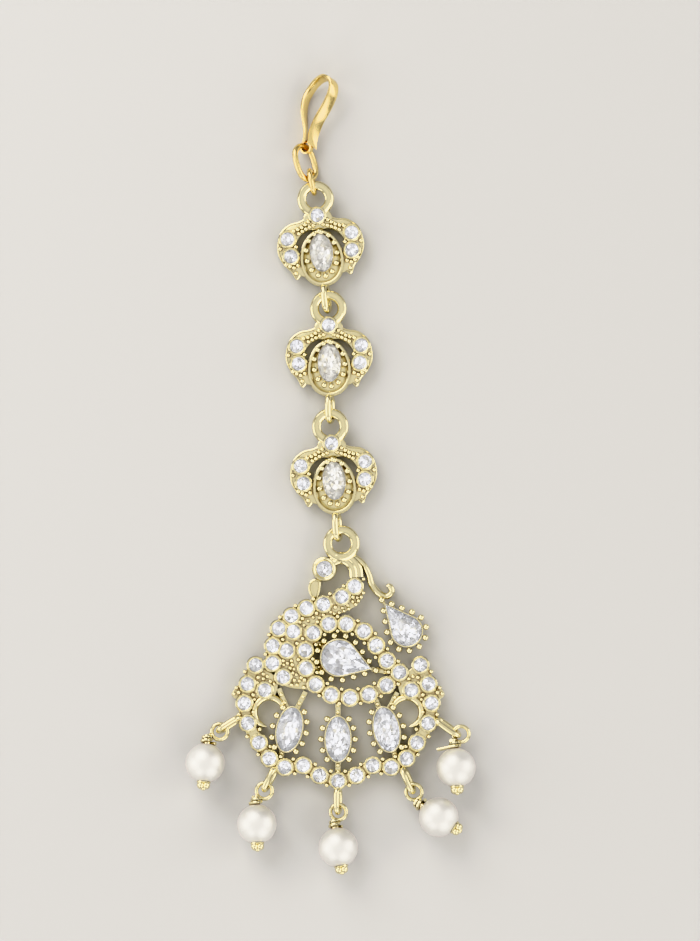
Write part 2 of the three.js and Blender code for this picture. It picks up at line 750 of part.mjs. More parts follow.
function makeDrop(group, number, [, , , , eyeX, eyeY, x, y, heading]) {
  const place = new THREE.Matrix4()
    .makeTranslation(x, y, PEARL_R)
    .multiply(new THREE.Matrix4().makeRotationZ(rad(heading)))
    .multiply(new THREE.Matrix4().makeRotationY(rad(-PIN_RISE)));
  const start = -COLLAR.from - COLLAR.length;
  const step = COLLAR.length / 4;
  const collar = turnedOnX(
    [
      [start, 0],
      [start, COLLAR.waist],
      [start + step, COLLAR.r],
      [start + 2 * step, COLLAR.waist],
      [start + 3 * step, COLLAR.r],
      [start + 4 * step, COLLAR.waist],
      [start + 4 * step, 0],
    ],
    6,
  );
  const cap = turnedOnX(
    [
      [CAP.from, 0],
      [CAP.from, 0.8 * CAP.r],
      [CAP.from + 0.35 * CAP.length, CAP.r],
      [CAP.from + 0.8 * CAP.length, 0.7 * CAP.r],
      [CAP.from + CAP.length, 0.3 * CAP.r],
      [CAP.from + CAP.length, 0],
    ],
    8,
  );
  const pin = new THREE.CylinderGeometry(PIN_R, PIN_R, 2 * COLLAR.from + 0.5, 6);
  pin.rotateZ(Math.PI / 2);
  const eye = new THREE.Vector3(eyeX, eyeY, RING_MID);
  const collarEnd = new THREE.Vector3(start + step, 0, 0).applyMatrix4(place);
  const toCollar = collarEnd.clone().sub(eye).setZ(0).normalize();
  const near = eye.clone().addScaledVector(toCollar, EYE_R);
  const ring = wireRing(EYE_R, EYE_R, EYE_WIRE).translate(eyeX, eyeY, RING_MID);
  const turned = [collar, cap, pin].map((g) => g.applyMatrix4(place));
  const wire = join(turned.concat(ring, rod(near, collarEnd, EYE_WIRE)));
  piece(group, "drop_wire_" + number, wire, "champagne");

  const bore = Math.asin(PEARL_BORE / PEARL_R);
  const profile = Array.from({ length: PEARL_STEPS + 1 }, (_, i) => {
    const t = THREE.MathUtils.lerp(-Math.PI / 2 + bore, Math.PI / 2 - bore, i / PEARL_STEPS);
    return [PEARL_R * Math.sin(t), PEARL_R * Math.cos(t)];
  });
  const pearl = turnedOnX(profile.concat([profile[0]]), 12).applyMatrix4(place);
  piece(group, "pearl_" + number, pearl, "pearl");
}

const pendant = new THREE.Group();
piece(pendant, "pendant", makePendantCasting(), "champagne");
makePendantStones(pendant);
DROPS.forEach((row, i) => makeDrop(pendant, i + 1, row));
pendant.position.set(PENDANT.x, PENDANT.y, 0);
tikka.add(pendant);

// The part's frame has its origin under the middle of the whole, on the surface it lies on.
tikka.updateMatrixWorld(true);
const box = new THREE.Box3().setFromObject(tikka, true);
const middle = box.getCenter(new THREE.Vector3());
tikka.position.set(-middle.x, -middle.y, -box.min.z);

const part = new THREE.Group();
part.add(tikka);

export default part;
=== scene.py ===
import math
from itertools import count

import bmesh
import bpy
from mathutils import Matrix, Vector
from mathutils.geometry import interpolate_bezier


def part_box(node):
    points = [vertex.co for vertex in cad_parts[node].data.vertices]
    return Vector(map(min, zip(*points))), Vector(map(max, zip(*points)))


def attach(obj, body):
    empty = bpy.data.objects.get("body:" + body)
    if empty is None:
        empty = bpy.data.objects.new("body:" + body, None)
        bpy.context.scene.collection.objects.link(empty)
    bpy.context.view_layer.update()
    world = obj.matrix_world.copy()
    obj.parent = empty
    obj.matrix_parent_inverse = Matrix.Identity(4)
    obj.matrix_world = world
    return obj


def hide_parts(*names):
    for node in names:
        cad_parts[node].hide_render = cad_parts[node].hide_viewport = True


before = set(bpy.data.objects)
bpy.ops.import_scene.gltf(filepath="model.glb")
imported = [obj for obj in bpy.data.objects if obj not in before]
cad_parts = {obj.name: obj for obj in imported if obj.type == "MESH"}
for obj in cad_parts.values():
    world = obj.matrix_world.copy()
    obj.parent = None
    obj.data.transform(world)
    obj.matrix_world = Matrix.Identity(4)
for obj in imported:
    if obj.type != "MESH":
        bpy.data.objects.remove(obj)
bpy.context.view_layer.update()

# The studio: a matt pale floor under the ornament, a dim grey room, and soft lamps in diffusers.
# The camera looks almost straight down from arm's length, as one looks at an ornament laid on a
# table, so the whole length fills the height of the picture.

MM = 0.001


def linear(hex_colour):
    """An sRGB hex value as linear red, green, blue and full alpha."""
    parts = [int(hex_colour[i:i + 2], 16) / 255 for i in (1, 3, 5)]
    return [c / 12.92 if c < 0.04045 else ((c + 0.055) / 1.055) ** 2.4 for c in parts] + [1.0]


def material(name):
    """A new material, its tree of nodes and the tree's surface shader."""
    made = bpy.data.materials.new(name)
    made.use_nodes = True
    return made, made.node_tree, made.node_tree.nodes["Principled BSDF"]


def node(tree, kind, settings=None, **links):
    """Adds a shader node. Settings whose value is an output socket become links."""
    made = tree.nodes.new(kind)
    for name, value in (settings or {}).items():
        setattr(made, name, value)
    for name, value in links.items():
        socket = made.inputs[int(name[1:])] if name[0] == "_" else made.inputs[name.replace("_", " ")]
        if isinstance(value, bpy.types.NodeSocket):
            tree.links.new(value, socket)
        else:
            socket.default_value = value
    return made


LOOK_AT = Vector((2.52, 0.32, 1.5)) * MM
VIEW_HEIGHT = 122.3  # mm of the table that the picture's height takes in
VIEW_DISTANCE = 600
VIEW_ELEVATION = math.radians(88)
SENSOR = 24  # mm, height of the camera's sensor

camera = bpy.data.objects.new("camera", bpy.data.cameras.new("camera"))
bpy.context.scene.collection.objects.link(camera)
direction = Vector((0, -math.cos(VIEW_ELEVATION), math.sin(VIEW_ELEVATION)))
camera.location = LOOK_AT + direction * VIEW_DISTANCE * MM
camera.rotation_euler = (math.pi / 2 - VIEW_ELEVATION, 0, 0)
camera.data.sensor_fit = "VERTICAL"
camera.data.sensor_height = SENSOR
camera.data.lens = SENSOR * VIEW_DISTANCE / VIEW_HEIGHT
camera.data.clip_start = 0.01
bpy.context.scene.camera = camera
bpy.context.scene.view_settings.view_transform = "Khronos PBR Neutral"

# Painted walls: dim low down, pale at the ceiling, so that metal and stones mirror light and dark.
room = bpy.data.worlds.new("room")
room.use_nodes = True
bpy.context.scene.world = room
tree = room.node_tree
tree.nodes.clear()
where = node(tree, "ShaderNodeTexCoord")
split = node(tree, "ShaderNodeSeparateXYZ", Vector=where.outputs["Generated"])
ramp = node(tree, "ShaderNodeValToRGB", Fac=split.outputs["Z"])
WALLS = [
    # sine of the elevation, colour seen there
    (0.0, "#6a6661"), (0.25, "#8f8b86"), (0.6, "#c1beb9"), (1.0, "#f1efec"),
]
while len(ramp.color_ramp.elements) < len(WALLS):
    ramp.color_ramp.elements.new(0.5)
for stop, (rise, colour) in zip(ramp.color_ramp.elements, WALLS):
    stop.position, stop.color = rise, linear(colour)
sky = node(tree, "ShaderNodeBackground", Color=ramp.outputs["Color"], Strength=1.0)
node(tree, "ShaderNodeOutputWorld", Surface=sky.outputs["Background"])

SOFTBOXES = [
    # name, azimuth and elevation in degrees, distance and width in mm, watts
    ("window", 122, 38, 450, 320, 1.35),
    ("left", 186, 24, 450, 320, 0.95),
    ("right", 4, 24, 450, 320, 0.9),
    ("near", -58, 25, 450, 300, 0.75),
    ("near_left", -122, 25, 450, 220, 0.42),
]
for name, azimuth, elevation, away, wide, watts in SOFTBOXES:
    lamp = bpy.data.lights.new(name, "AREA")
    lamp.size = wide * MM
    lamp.energy = watts
    stand = bpy.data.objects.new(name, lamp)
    bpy.context.scene.collection.objects.link(stand)
    turn, rise = math.radians(azimuth), math.radians(elevation)
    aim = Vector((math.cos(turn) * math.cos(rise), math.sin(turn) * math.cos(rise), math.sin(rise)))
    stand.location = aim * away * MM
    stand.rotation_euler = aim.to_track_quat("Z", "Y").to_euler()

FLOOR_HALF = 1500  # mm from its middle to each side
FLOOR_DROP = 0.02  # mm that it lies below the ornament's back

half = FLOOR_HALF * MM
board_mesh = bpy.data.meshes.new("floor")
board_mesh.from_pydata(
    [(-half, -half, 0), (half, -half, 0), (half, half, 0), (-half, half, 0)], [], [(0, 1, 2, 3)],
)
board = bpy.data.objects.new("floor", board_mesh)
bpy.context.scene.collection.objects.link(board)
board.location.z = -FLOOR_DROP * MM

# Matt white paint, rolled on board: no gloss, a faint tooth, and soft shadows.
paint, tree, surface = material("matt_white_board")
surface.inputs["Base Color"].default_value = linear("#bfbdba")
surface.inputs["Roughness"].default_value = 0.85
fibre = node(tree, "ShaderNodeTexNoise", Scale=1 / (0.4 * MM))
relief = node(tree, "ShaderNodeBump", Strength=0.05, Distance=0.05 * MM, Height=fibre.outputs["Fac"])
tree.links.new(relief.outputs["Normal"], surface.inputs["Normal"])
board.data.materials.append(paint)

# The hair hook: one length of flat brass ribbon, bent on edge to a teardrop that slides into the
# hair, its free end cut on the slant, the other end curled to an eye. Plated bright yellow gold.


def smooth(rows, steps, closed=False):
    """A smooth curve through rows of x, y or x, y, z, with so many steps from row to row."""
    knots = [Vector((*row, 0)[:3]) for row in rows]
    turns = len(knots)
    fine = []
    for i in range(turns if closed else turns - 1):
        a, b = knots[i], knots[(i + 1) % turns]
        before = knots[i - 1] if closed or i else a
        after = knots[(i + 2) % turns] if closed or i + 2 < turns else b
        fine += interpolate_bezier(a, a + (b - before) / 6, b - (after - a) / 6, b, steps + 1)[:-1]
    return fine + [knots[0] if closed else knots[-1]]


class Shells:
    """Closed shells gathered into one mesh, in mm, each put in its place as it is added."""

    def __init__(self, place=Matrix()):
        self.place, self.points, self.faces, self.slots = place, [], [], []

    def add(self, points, faces, slots=None):
        """Adds a shell. Its faces take the first material, unless slots has a number for each."""
        start = len(self.points)
        self.points += [self.place @ p for p in points]
        self.faces += [[start + i for i in face] for face in faces]
        self.slots += slots or [0] * len(faces)

    def loft(self, rings, looped=False):
        """Skins rings of equally many points, and closes open ends with a face each."""
        size, total = len(rings[0]), len(rings)
        faces = []
        for r in range(total if looped else total - 1):
            a, b = r * size, (r + 1) % total * size
            faces += [(a + i, a + (i + 1) % size, b + (i + 1) % size, b + i) for i in range(size)]
        if not looped:
            faces += [range(size), range((total - 1) * size, total * size)]
        self.add([p for ring in rings for p in ring], faces)

    def sweep(self, path, section, side=Vector((0, 0, 1)), closed=False):
        """Carries section(share), rows of across and up, along a path that side is square to."""
        rings = []
        last = len(path) - 1
        for i, p in enumerate(path):
            before = path[i - 1] if closed or i else p
            after = path[(i + 1) % len(path)] if closed or i < last else p
            along = (after - before).normalized()
            across = along.cross(side).normalized()
            up = across.cross(along)
            rings.append([p + across * a + up * u for a, u in section(i / last)])
        self.loft(rings, closed)

    def turned(self, profile, sides, looped=False, place=Matrix()):
        """Turns rows of radius and height about Z."""
        turns = [2 * math.pi * i / sides for i in range(sides)]
        rings = []
        for r, height in profile:
            rings.append([place @ Vector((r * math.cos(t), r * math.sin(t), height)) for t in turns])
        self.loft(rings, looped)

    def ball(self, x, y, z, r, sides):
        bands = [math.radians(t) for t in (-80, -48, -16, 16, 48, 80)]
        profile = [(r * math.cos(t), r * math.sin(t)) for t in bands]
        self.turned(profile, sides, place=Matrix.Translation((x, y, z)))

    def piece(self, name, materials, stands_for, crease=38):
        """Makes the object, smooth but for edges sharper than crease degrees. It stands for the
        CAD nodes named, and takes its finish from the record's slot."""
        mesh = bpy.data.meshes.new(name)
        mesh.from_pydata([p * MM for p in self.points], [], self.faces)
        mesh.polygons.foreach_set("material_index", self.slots)
        for finish in materials:
            mesh.materials.append(finish)
        work = bmesh.new()
        work.from_mesh(mesh)
        bmesh.ops.recalc_face_normals(work, faces=work.faces)
        work.to_mesh(mesh)
        work.free()
        if crease:
            mesh.shade_smooth()
            mesh.set_sharp_from_angle(angle=math.radians(crease))
        made = bpy.data.objects.new(name, mesh)
        bpy.context.scene.collection.objects.link(made)
        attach(made, "root")
        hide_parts(*stands_for)
        return made


CLOUD_SIZE = 3  # mm, the soft clouds in a plated tone
CLOUD_SHADE = 0.88
PAINTED_SHADE_REACH = 0.6  # mm within which walls round a spot darken it with painted shade


def metal(name, face, painted_shade, shine, grit, grain, stretch=(1, 1, 1)):
    """Plated metal: face is its colour in the open; the second colour is painted shade, mixed in where
    ambient occlusion finds walls close round a spot deep in the relief. Shine is its roughness,
    grit the size in mm and grain the height in mm of its surface texture."""
    made, tree, surface = material(name)
    surface.inputs["Metallic"].default_value = 1.0
    where = node(tree, "ShaderNodeTexCoord")
    fitted = node(tree, "ShaderNodeMapping", Vector=where.outputs["Object"], Scale=stretch)
    cloud = node(
        tree, "ShaderNodeTexNoise",
        Vector=fitted.outputs["Vector"], Scale=1 / (CLOUD_SIZE * MM), Detail=3.0,
    )
    dark = [CLOUD_SHADE * c for c in linear(face)[:3]] + [1.0]
    tone = node(
        tree, "ShaderNodeMix", {"data_type": "RGBA"},
        _0=cloud.outputs["Fac"], _6=linear(face), _7=dark,
    )
    # Painted shade: where ambient occlusion finds walls close round a spot, depth falls and the colour
    # turns to the painted shade colour.
    painted_shade_occlusion = node(tree, "ShaderNodeAmbientOcclusion", {"samples": 8}, Distance=PAINTED_SHADE_REACH * MM)
    depth = node(tree, "ShaderNodeMapRange", Value=painted_shade_occlusion.outputs["AO"], From_Min=0.18, From_Max=0.66)
    colour = node(
        tree, "ShaderNodeMix", {"data_type": "RGBA"},
        _0=depth.outputs["Result"], _6=linear(painted_shade), _7=tone.outputs[2],
    )
    tree.links.new(colour.outputs[2], surface.inputs["Base Color"])
    fine = node(
        tree, "ShaderNodeTexNoise",
        Vector=fitted.outputs["Vector"], Scale=1 / (grit * MM), Detail=2.0,
    )
    wear = node(
        tree, "ShaderNodeMapRange",
        Value=fine.outputs["Fac"], To_Min=0.75 * shine, To_Max=1.3 * shine,
    )
    tree.links.new(wear.outputs["Result"], surface.inputs["Roughness"])
    bump = node(tree, "ShaderNodeBump", Strength=0.6, Distance=grain * MM, Height=fine.outputs["Fac"])
    tree.links.new(bump.outputs["Normal"], surface.inputs["Normal"])
    return made


# Yellow gold flash over drawn brass: mirror bright, with faint lines along the ribbon. Its second
#  colour is painted shade and painted reflection, a deep orange, in the hollows and on inner faces.
yellow_gold = metal("yellow_gold_plated_brass_drawn", "#fde5a2", "#c4823c", 0.22, 0.35, 0.002, (1, 0.3, 1))

RIBBON_WIDE = 1.55
RIBBON_THICK = 0.42
HOOK_LINE = [
    # upper edge x, y and lower edge x, y, from the free tip up the right leg and round to the eye
    (-3.04, 43.09, -1.81, 42.18),
    (-2.85, 44.3, -1.72, 43.58),
    (-2.14, 46.1, -1.06, 45.4),
    (-1.1, 47.86, -0.02, 47.22),
    (-0.36, 49.4, 0.76, 48.96),
    (-0.12, 50.54, 0.85, 50.3),
    (-0.44, 51.4, 0.31, 51.08),
    (-1.18, 51.75, -0.66, 51.14),
    (-2.03, 51.34, -1.64, 50.46),
    (-2.91, 50.21, -2.46, 49.37),
    (-3.55, 48.95, -2.96, 48.33),
    (-3.76, 47.54, -3.16, 47.18),
    (-3.56, 45.88, -3.15, 45.75),
    (-3.38, 44.45, -3.12, 44.4),
    (-3.5, 43.15, -3.3, 43.1),
]
HOOK_STEPS = 9  # rings of the mesh from one row to the next
HOOK_FOOT = 0.22  # least height of the ribbon's lower edge
HOOK_CENTRE = (-3, 48.75)  # the loop leans about this point
HOOK_RISE = 0.69  # per mm to the right
HOOK_FALL = 0.113  # per mm towards the loop's top
HOOK_SINK = 0.05
EYE = (-3.12, 42.5, 1.05)
EYE_R = 0.74
EYE_WIDE = 0.7
EYE_THICK = 0.32
EYE_LEAN = math.radians(-35)
EYE_START = 64
EYE_STEP = 11  # degrees between the rings of the curl
EYE_RINGS = 33


def rounded(half, low, high, edge):
    """A flat bar's section with its four corners rounded."""
    soft = 0.3 * edge
    return [
        (-half, low + edge), (-half, high - edge), (-half + soft, high - soft), (-half + edge, high),
        (half - edge, high), (half - soft, high - soft), (half, high - edge), (half, low + edge),
        (half - soft, low + soft), (half - edge, low), (-half + edge, low), (-half + soft, low + soft),
    ]


def hook_rest(x, y):
    """Height of the ribbon's lower edge: the loop leans with its right side up, and the ring
    lifts its eye."""
    lift = HOOK_RISE * (x - HOOK_CENTRE[0]) - HOOK_FALL * (y - HOOK_CENTRE[1])
    return max(HOOK_FOOT, lift - HOOK_SINK)


above, below = [], []
for upper_x, upper_y, lower_x, lower_y in HOOK_LINE:
    foot = hook_rest(lower_x, lower_y)
    run = math.hypot(upper_x - lower_x, upper_y - lower_y)
    below.append((lower_x, lower_y, foot))
    above.append((upper_x, upper_y, foot + math.sqrt(max(0.02, RIBBON_WIDE ** 2 - run ** 2))))
above, below = smooth(above, HOOK_STEPS), smooth(below, HOOK_STEPS)
rings = []
for i in range(len(above)):
    along = above[min(i + 1, len(above) - 1)] - above[max(i - 1, 0)]
    width = (above[i] - below[i]).normalized()
    across = along.cross(width).normalized()
    section = rounded(RIBBON_THICK / 2, 0, (above[i] - below[i]).length, 0.1)
    rings.append([below[i] + across * a + width * u for a, u in section])
hook = Shells()
hook.loft(rings)
hook.place = Matrix.Translation(EYE) @ Matrix.Rotation(EYE_LEAN, 4, "Y")
curl = []
for i in range(EYE_RINGS):
    t = math.radians(EYE_START - EYE_STEP * i)
    curl.append(Vector((EYE_R * math.cos(t), EYE_R * math.sin(t), 0)))
hook.sweep(curl, lambda share: rounded(EYE_THICK / 2, -EYE_WIDE / 2, EYE_WIDE / 2, 0.07))
hook.piece("hair_hook_ribbon", [yellow_gold], ["hair_hook"])

# Two jump rings of round brass wire join the hook to the first link: an oval one that leans
# against the hook's eye, and a small one on edge through it and the link. Each has a butt joint.

JUMP_RINGS = [
    # half length, half width, wire radius, turn in the plan, lean about its length
    (2.26, 1.6, 0.38, 16, 45),
    (1.5, 1.2, 0.35, 12, 86),
]
BUTT = 0.012  # share of the ring left open at its joint
BUTT_AT = 0.6  # radians round the ring


def middle(cad_node):
    """The middle of a CAD node's box, in mm."""
    low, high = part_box(cad_node)
    return (low + high) / (2 * MM)


def oval_path(a, b, spans, opening=0.0):
    """A ring of half length a along Y and half width b, with straight sides where a is more."""
    points = []
    for i in range(spans + (1 if opening else 0)):
        t = 2 * math.pi * (opening / 2 + (1 - opening) * i / spans) + BUTT_AT
        x, y = b * math.cos(t), b * math.sin(t)
        points.append(Vector((x, y + max(-1, min(1, 2 * y / b)) * (a - b), 0)))
    return points


def wire(r, sides=12):
    """A round section."""
    turns = [2 * math.pi * i / sides for i in range(sides)]
    return lambda share: [(r * math.cos(t), r * math.sin(t)) for t in turns]


for number, (a, b, r, turn, lean) in enumerate(JUMP_RINGS, 1):
    place = (
        Matrix.Translation(middle(f"jump_ring_{number}"))
        @ Matrix.Rotation(math.radians(turn), 4, "Z")
        @ Matrix.Rotation(math.radians(lean), 4, "Y")
    )
    ring = Shells(place)
    ring.sweep(oval_path(a, b, 64, BUTT), wire(r))
    ring.piece(f"jump_ring_wire_{number}", [yellow_gold], [f"jump_ring_{number}"])

# Three links, each one brass casting plated in pale champagne gold: a flat ring, a crown of two
# lobes set with stones, an egg-shaped bezel with grains round its stone, and a loop on edge that
# passes through the next ring. Everything is cast in one, with the edges softened by polishing.

# Champagne gold over cast brass: pale, soft gloss, with painted shade, darker and browner, down in the
# relief.
champagne = metal("champagne_gold_plated_cast_brass", "#f5ebc0", "#80602c", 0.17, 0.3, 0.004)

RING_OUT = 2.4
RING_HOLE = 1.2
RING_HALF = 0.55
RING_MID = 1.55
LINK_RING_Y = 7.05
LINK_LOOP = (0, -3.9, 0, -8)  # one end's x, y and the other's
LOOP_TALL = 3
LOOP_WIRE = 0.41
LOOP_LEAN = 15
LOBE_LOW = 0.45
LOBE_TOP = 1.72
LOBE = [
    # right lobe: down its outer edge, round the wing tip, and back up along the pierced crescent
    (0.0, 5.6), (1.3, 5.1), (1.85, 4.5), (2.6, 4.2), (3.9, 3.95), (5.1, 2.98), (5.6, 1.5),
    (5.58, 0.1), (4.95, -1.15), (4.35, -1.85), (4.0, -2.4), (3.65, -3.15), (3.15, -2.7),
    (2.2, -2.85), (2.3, -1.2), (2.8, -0.5), (3.2, 0.45), (3.15, 1.4), (2.5, 2.4), (1.4, 3.05),
    (0.0, 3.2),
]
LOBE_EDGE = LOBE[2:13]  # from the collar to the wing tip, where a fine rim is raised
LOBE_RIM_R = 0.13
LINK_STONES = [(0, 4.85), (-4.2, 2.2), (-4, -0.1), (4.2, 2.2), (4, -0.1)]
STONE_R = 0.88
CUP_R = 1.17
CUP_LOW = 0.8
CUP_TOP = 2.08
GRAIN_ARCS = [
    # start, bend and end of a row of small grains on the right shoulder, and how many
    ((1.25, 4.2), (2.3, 3.5), (3.3, 3.2), 5),
    ((0.65, 3.65), (1.6, 3.3), (2.65, 2.75), 5),
]
SMALL_GRAINS = [
    (5.3, 1.05), (3.2, 1.1), (4.75, -1.1), (3.75, -1.6), (3.2, -1.35), (3.55, -2.35), (4.25, -1.35),
]
LINK_GRAIN_R = 0.31
LINK_GRAIN_Z = LOBE_TOP + 0.12
COLLAR = (0, 4.5, 1.92, 1.38)  # x, y, half width and half height of the plate under the top stone
COLLAR_TOP = 1.86
TOP_RISE = 0.3  # how much higher the top stone sits than the side ones, over the ring
EGG_Y = -0.7
EGG_A = 2.79
EGG_B = 3.6
EGG_TAPER = 0.1
EGG_TOP = 2.35
EGG_FLOOR = 1.05
EGG_WALL = 0.36
EGG_FOOT = 0.44  # width of the wall's foot
EGG_FOOT_TOP = 1.5
OVAL_A = 1.5
OVAL_B = 2.5
SEAT_TOP = 1.92
BEZEL_BEADS = (0, -0.22, 2.03, 2.9, 13)  # x, y, half width and half height of their oval, how many
BEAD_R = 0.38
BEAD_Z = 2.16
BEAD_PEG = [(0.25, 0.9), (0.25, 2.0)]  # radius and height
TOP_BEAD = (0, 2.76, 2.22)


def route(rows, spans, closed=False):
    """Points at equal spacing on a smooth curve through rows."""
    fine = smooth(rows, 16, closed)
    reach = [0.0]
    for a, b in zip(fine, fine[1:]):
        reach.append(reach[-1] + (b - a).length)
    points, k = [], 0
    for i in range(spans if closed else spans + 1):
        goal = reach[-1] * i / spans
        while k < len(fine) - 2 and reach[k + 1] < goal:
            k += 1
        share = (goal - reach[k]) / (reach[k + 1] - reach[k])
        points.append(fine[k].lerp(fine[k + 1], min(share, 1)))
    return points


def flat(points):
    """Points of the plan, at height 0."""
    return [Vector((p[0], p[1], 0)) for p in points]


def prism(shells, outline, low, high, edge):
    """A plate on a flat outline, its top edge rounded."""
    points = flat(outline)
    doubled = sum(p.x * q.y - q.x * p.y for p, q in zip(points, points[1:] + points[:1]))
    if doubled < 0:
        points.reverse()
    inward = []
    for i, p in enumerate(points):
        along = (points[(i + 1) % len(points)] - points[i - 1]).normalized()
        inward.append(Vector((-along.y, along.x, 0)))
    rings = []
    for inset, height in [(0, low), (0, high - edge), (0.3 * edge, high - 0.3 * edge), (edge, high)]:
        rings.append([p + n * inset + Vector((0, 0, height)) for p, n in zip(points, inward)])
    shells.loft(rings)


def mirrored(rows):
    return [(-x, y) for x, y in rows]


def ellipse(x, y, a, b, spans, turn=0.0):
    """Points round an oval of half width a and half height b, turned by so many degrees."""
    spin = Matrix.Rotation(math.radians(turn), 2)
    turns = [2 * math.pi * i / spans for i in range(spans)]
    return [Vector((x, y)) + spin @ Vector((a * math.cos(t), b * math.sin(t))) for t in turns]


def cup(shells, x, y, low, high, r=CUP_R, wall=CUP_R - STONE_R):
    """The thin raised wall round a stone, its rim rounded."""
    profile = [
        (r - wall, low), (r - wall, high - 0.05), (r - 0.75 * wall, high), (r - 0.3 * wall, high),
        (r, high - 0.08), (r + 0.03, low),
    ]
    shells.turned(profile, 22, looped=True, place=Matrix.Translation((x, y, 0)))


def band(shells, rows, width, low, high, spans, closed=False, edge=0.16):
    """A flat strip of even width along a smooth line, its edges rounded."""
    section = rounded(width / 2, low, high, edge)
    shells.sweep(route(rows, spans, closed), lambda share: section, closed=closed)


def flat_ring(shells, x, y):
    """A cast ring, dished between its raised inner and outer edges."""
    profile = [
        # radius and height over the ring's middle
        (RING_HOLE, -0.2), (RING_HOLE, 0.2), (1.26, 0.34), (1.38, 0.42), (1.5, 0.38), (1.62, 0.33),
        (1.98, 0.38), (2.16, 0.46), (2.3, 0.38), (2.37, 0.22), (RING_OUT, 0), (2.36, -0.24),
        (2.2, -0.46), (1.8, -RING_HALF), (1.5, -0.5), (1.28, -0.36),
    ]
    shells.turned(profile, 44, looped=True, place=Matrix.Translation((x, y, RING_MID)))


def standing_loop(shells, ends, tall, r, lean):
    """A cast loop on edge between two ends in the plan, of wire radius r, leaning by degrees."""
    x0, y0, x1, y1 = ends
    reach = math.hypot(x1 - x0, y1 - y0) / 2 - r
    place = (
        Matrix.Translation(((x0 + x1) / 2, (y0 + y1) / 2, RING_MID))
        @ Matrix.Rotation(math.atan2(y1 - y0, x1 - x0) - math.pi / 2, 4, "Z")
        @ Matrix.Rotation(math.radians(90 + lean), 4, "Y")
    )
    path = [place @ p for p in oval_path(reach, tall / 2 - r, 40)]
    shells.sweep(path, wire(r), side=place.to_3x3() @ Vector((0, 0, 1)), closed=True)


def egg(shrink):
    """The bezel's outline, an oval that narrows towards its top, drawn in by shrink."""
    points = []
    for x, y in ellipse(0, EGG_Y, EGG_A - shrink, EGG_B - shrink, 40):
        points.append((x * (1 - EGG_TAPER * (y - EGG_Y) / EGG_B), y))
    return points


def oval_wall(shells, path, wall, low, high):
    """A bezel wall along a closed line."""
    shells.sweep(flat(path), lambda share: rounded(wall / 2, low, high, 0.3 * wall), closed=True)


def link_casting(shells):
    """One link. Plates that cross differ a little in level, so no two faces coincide."""
    flat_ring(shells, 0, LINK_RING_Y)
    for side in (1, -1):
        turn_over = mirrored if side < 0 else list
        lobe = route(turn_over(LOBE), 80, closed=True)
        prism(shells, lobe, LOBE_LOW, LOBE_TOP + 0.01 * side, edge=0.16)
        rim = route(turn_over(LOBE_EDGE), 40)
        shells.sweep([p + Vector((-0.1 * side, 0, LOBE_TOP)) for p in rim], wire(LOBE_RIM_R, 8))
        for start, bend, end, grains in GRAIN_ARCS:
            for p in route(turn_over([start, bend, end]), grains - 1):
                shells.ball(p.x, p.y, LINK_GRAIN_Z, LINK_GRAIN_R, 10)
        for x, y in turn_over(SMALL_GRAINS):
            shells.ball(x, y, LINK_GRAIN_Z, LINK_GRAIN_R, 10)
    top_x, top_y = LINK_STONES[0]
    prism(shells, ellipse(*COLLAR, 36), LOBE_LOW - 0.04, COLLAR_TOP, edge=0.18)
    cup(shells, top_x, top_y, CUP_LOW, CUP_TOP + TOP_RISE)
    for i, (x, y) in enumerate(LINK_STONES[1:]):
        cup(shells, x, y, CUP_LOW, CUP_TOP + 0.01 * (i % 2))
    oval_wall(shells, egg(EGG_WALL / 2), EGG_WALL, LOBE_LOW, EGG_TOP)
    oval_wall(shells, egg(0.1), EGG_FOOT, LOBE_LOW - 0.02, EGG_FOOT_TOP)
    prism(shells, egg(0.25), LOBE_LOW - 0.1, EGG_FLOOR, edge=0.05)
    seat = ellipse(0, 0, OVAL_A + 0.03, OVAL_B + 0.03, 40)
    oval_wall(shells, seat, wall=0.12, low=0.9, high=SEAT_TOP)
    x0, y0, a, b, beads = BEZEL_BEADS
    for x, y in ellipse(x0, y0, a, b, beads):
        shells.turned(BEAD_PEG, 8, place=Matrix.Translation((x, y, 0)))
        shells.ball(x, y, BEAD_Z, BEAD_R, 12)
    shells.ball(*TOP_BEAD, BEAD_R, 12)
    standing_loop(shells, LINK_LOOP, LOOP_TALL, LOOP_WIRE, LOOP_LEAN)


def link_place(number):
    """Where a link lies in the plan, and how it is turned, from two of its stones."""
    centre = middle(f"link_{number}_stone_centre")
    up = middle(f"link_{number}_stone_top") - centre
    turn = math.atan2(up.y, up.x) - math.pi / 2
    return Matrix.Translation((centre.x, centre.y, 0)) @ Matrix.Rotation(turn, 4, "Z")


for number in (1, 2, 3):
    casting = Shells(link_place(number))
    link_casting(casting)
    casting.piece(f"link_casting_{number}", [champagne], [f"link_{number}"])

# The links' stones: cubic zirconia, one oval and five small rounds to a link. Each has a flat
# table and a cut crown, and is foiled behind, so that its setting never shows through.

# Cubic zirconia, cut and polished: clear, sharp facets. Its index is set low for the kind, because
# the mirrored back gives the fire here.
crystal, tree, surface = material("cubic_zirconia_cut_polished")
surface.inputs["Roughness"].default_value = 0.02
surface.inputs["IOR"].default_value = 1.5
surface.inputs["Transmission Weight"].default_value = 1.0
where = node(tree, "ShaderNodeTexCoord")
haze = node(tree, "ShaderNodeTexNoise", Vector=where.outputs["Object"], Scale=1 / (2.5 * MM))
tint = node(
    tree, "ShaderNodeMix", {"data_type": "RGBA"},
    _0=haze.outputs["Fac"], _6=linear("#ffffff"), _7=linear("#f9faff"),
)
tree.links.new(tint.outputs[2], surface.inputs["Base Color"])

CUT_SIZE = 0.55  # mm, the small cuts that the large back facets are broken into
CUT_TILT = 0.5  # how far the cuts lean from the facet


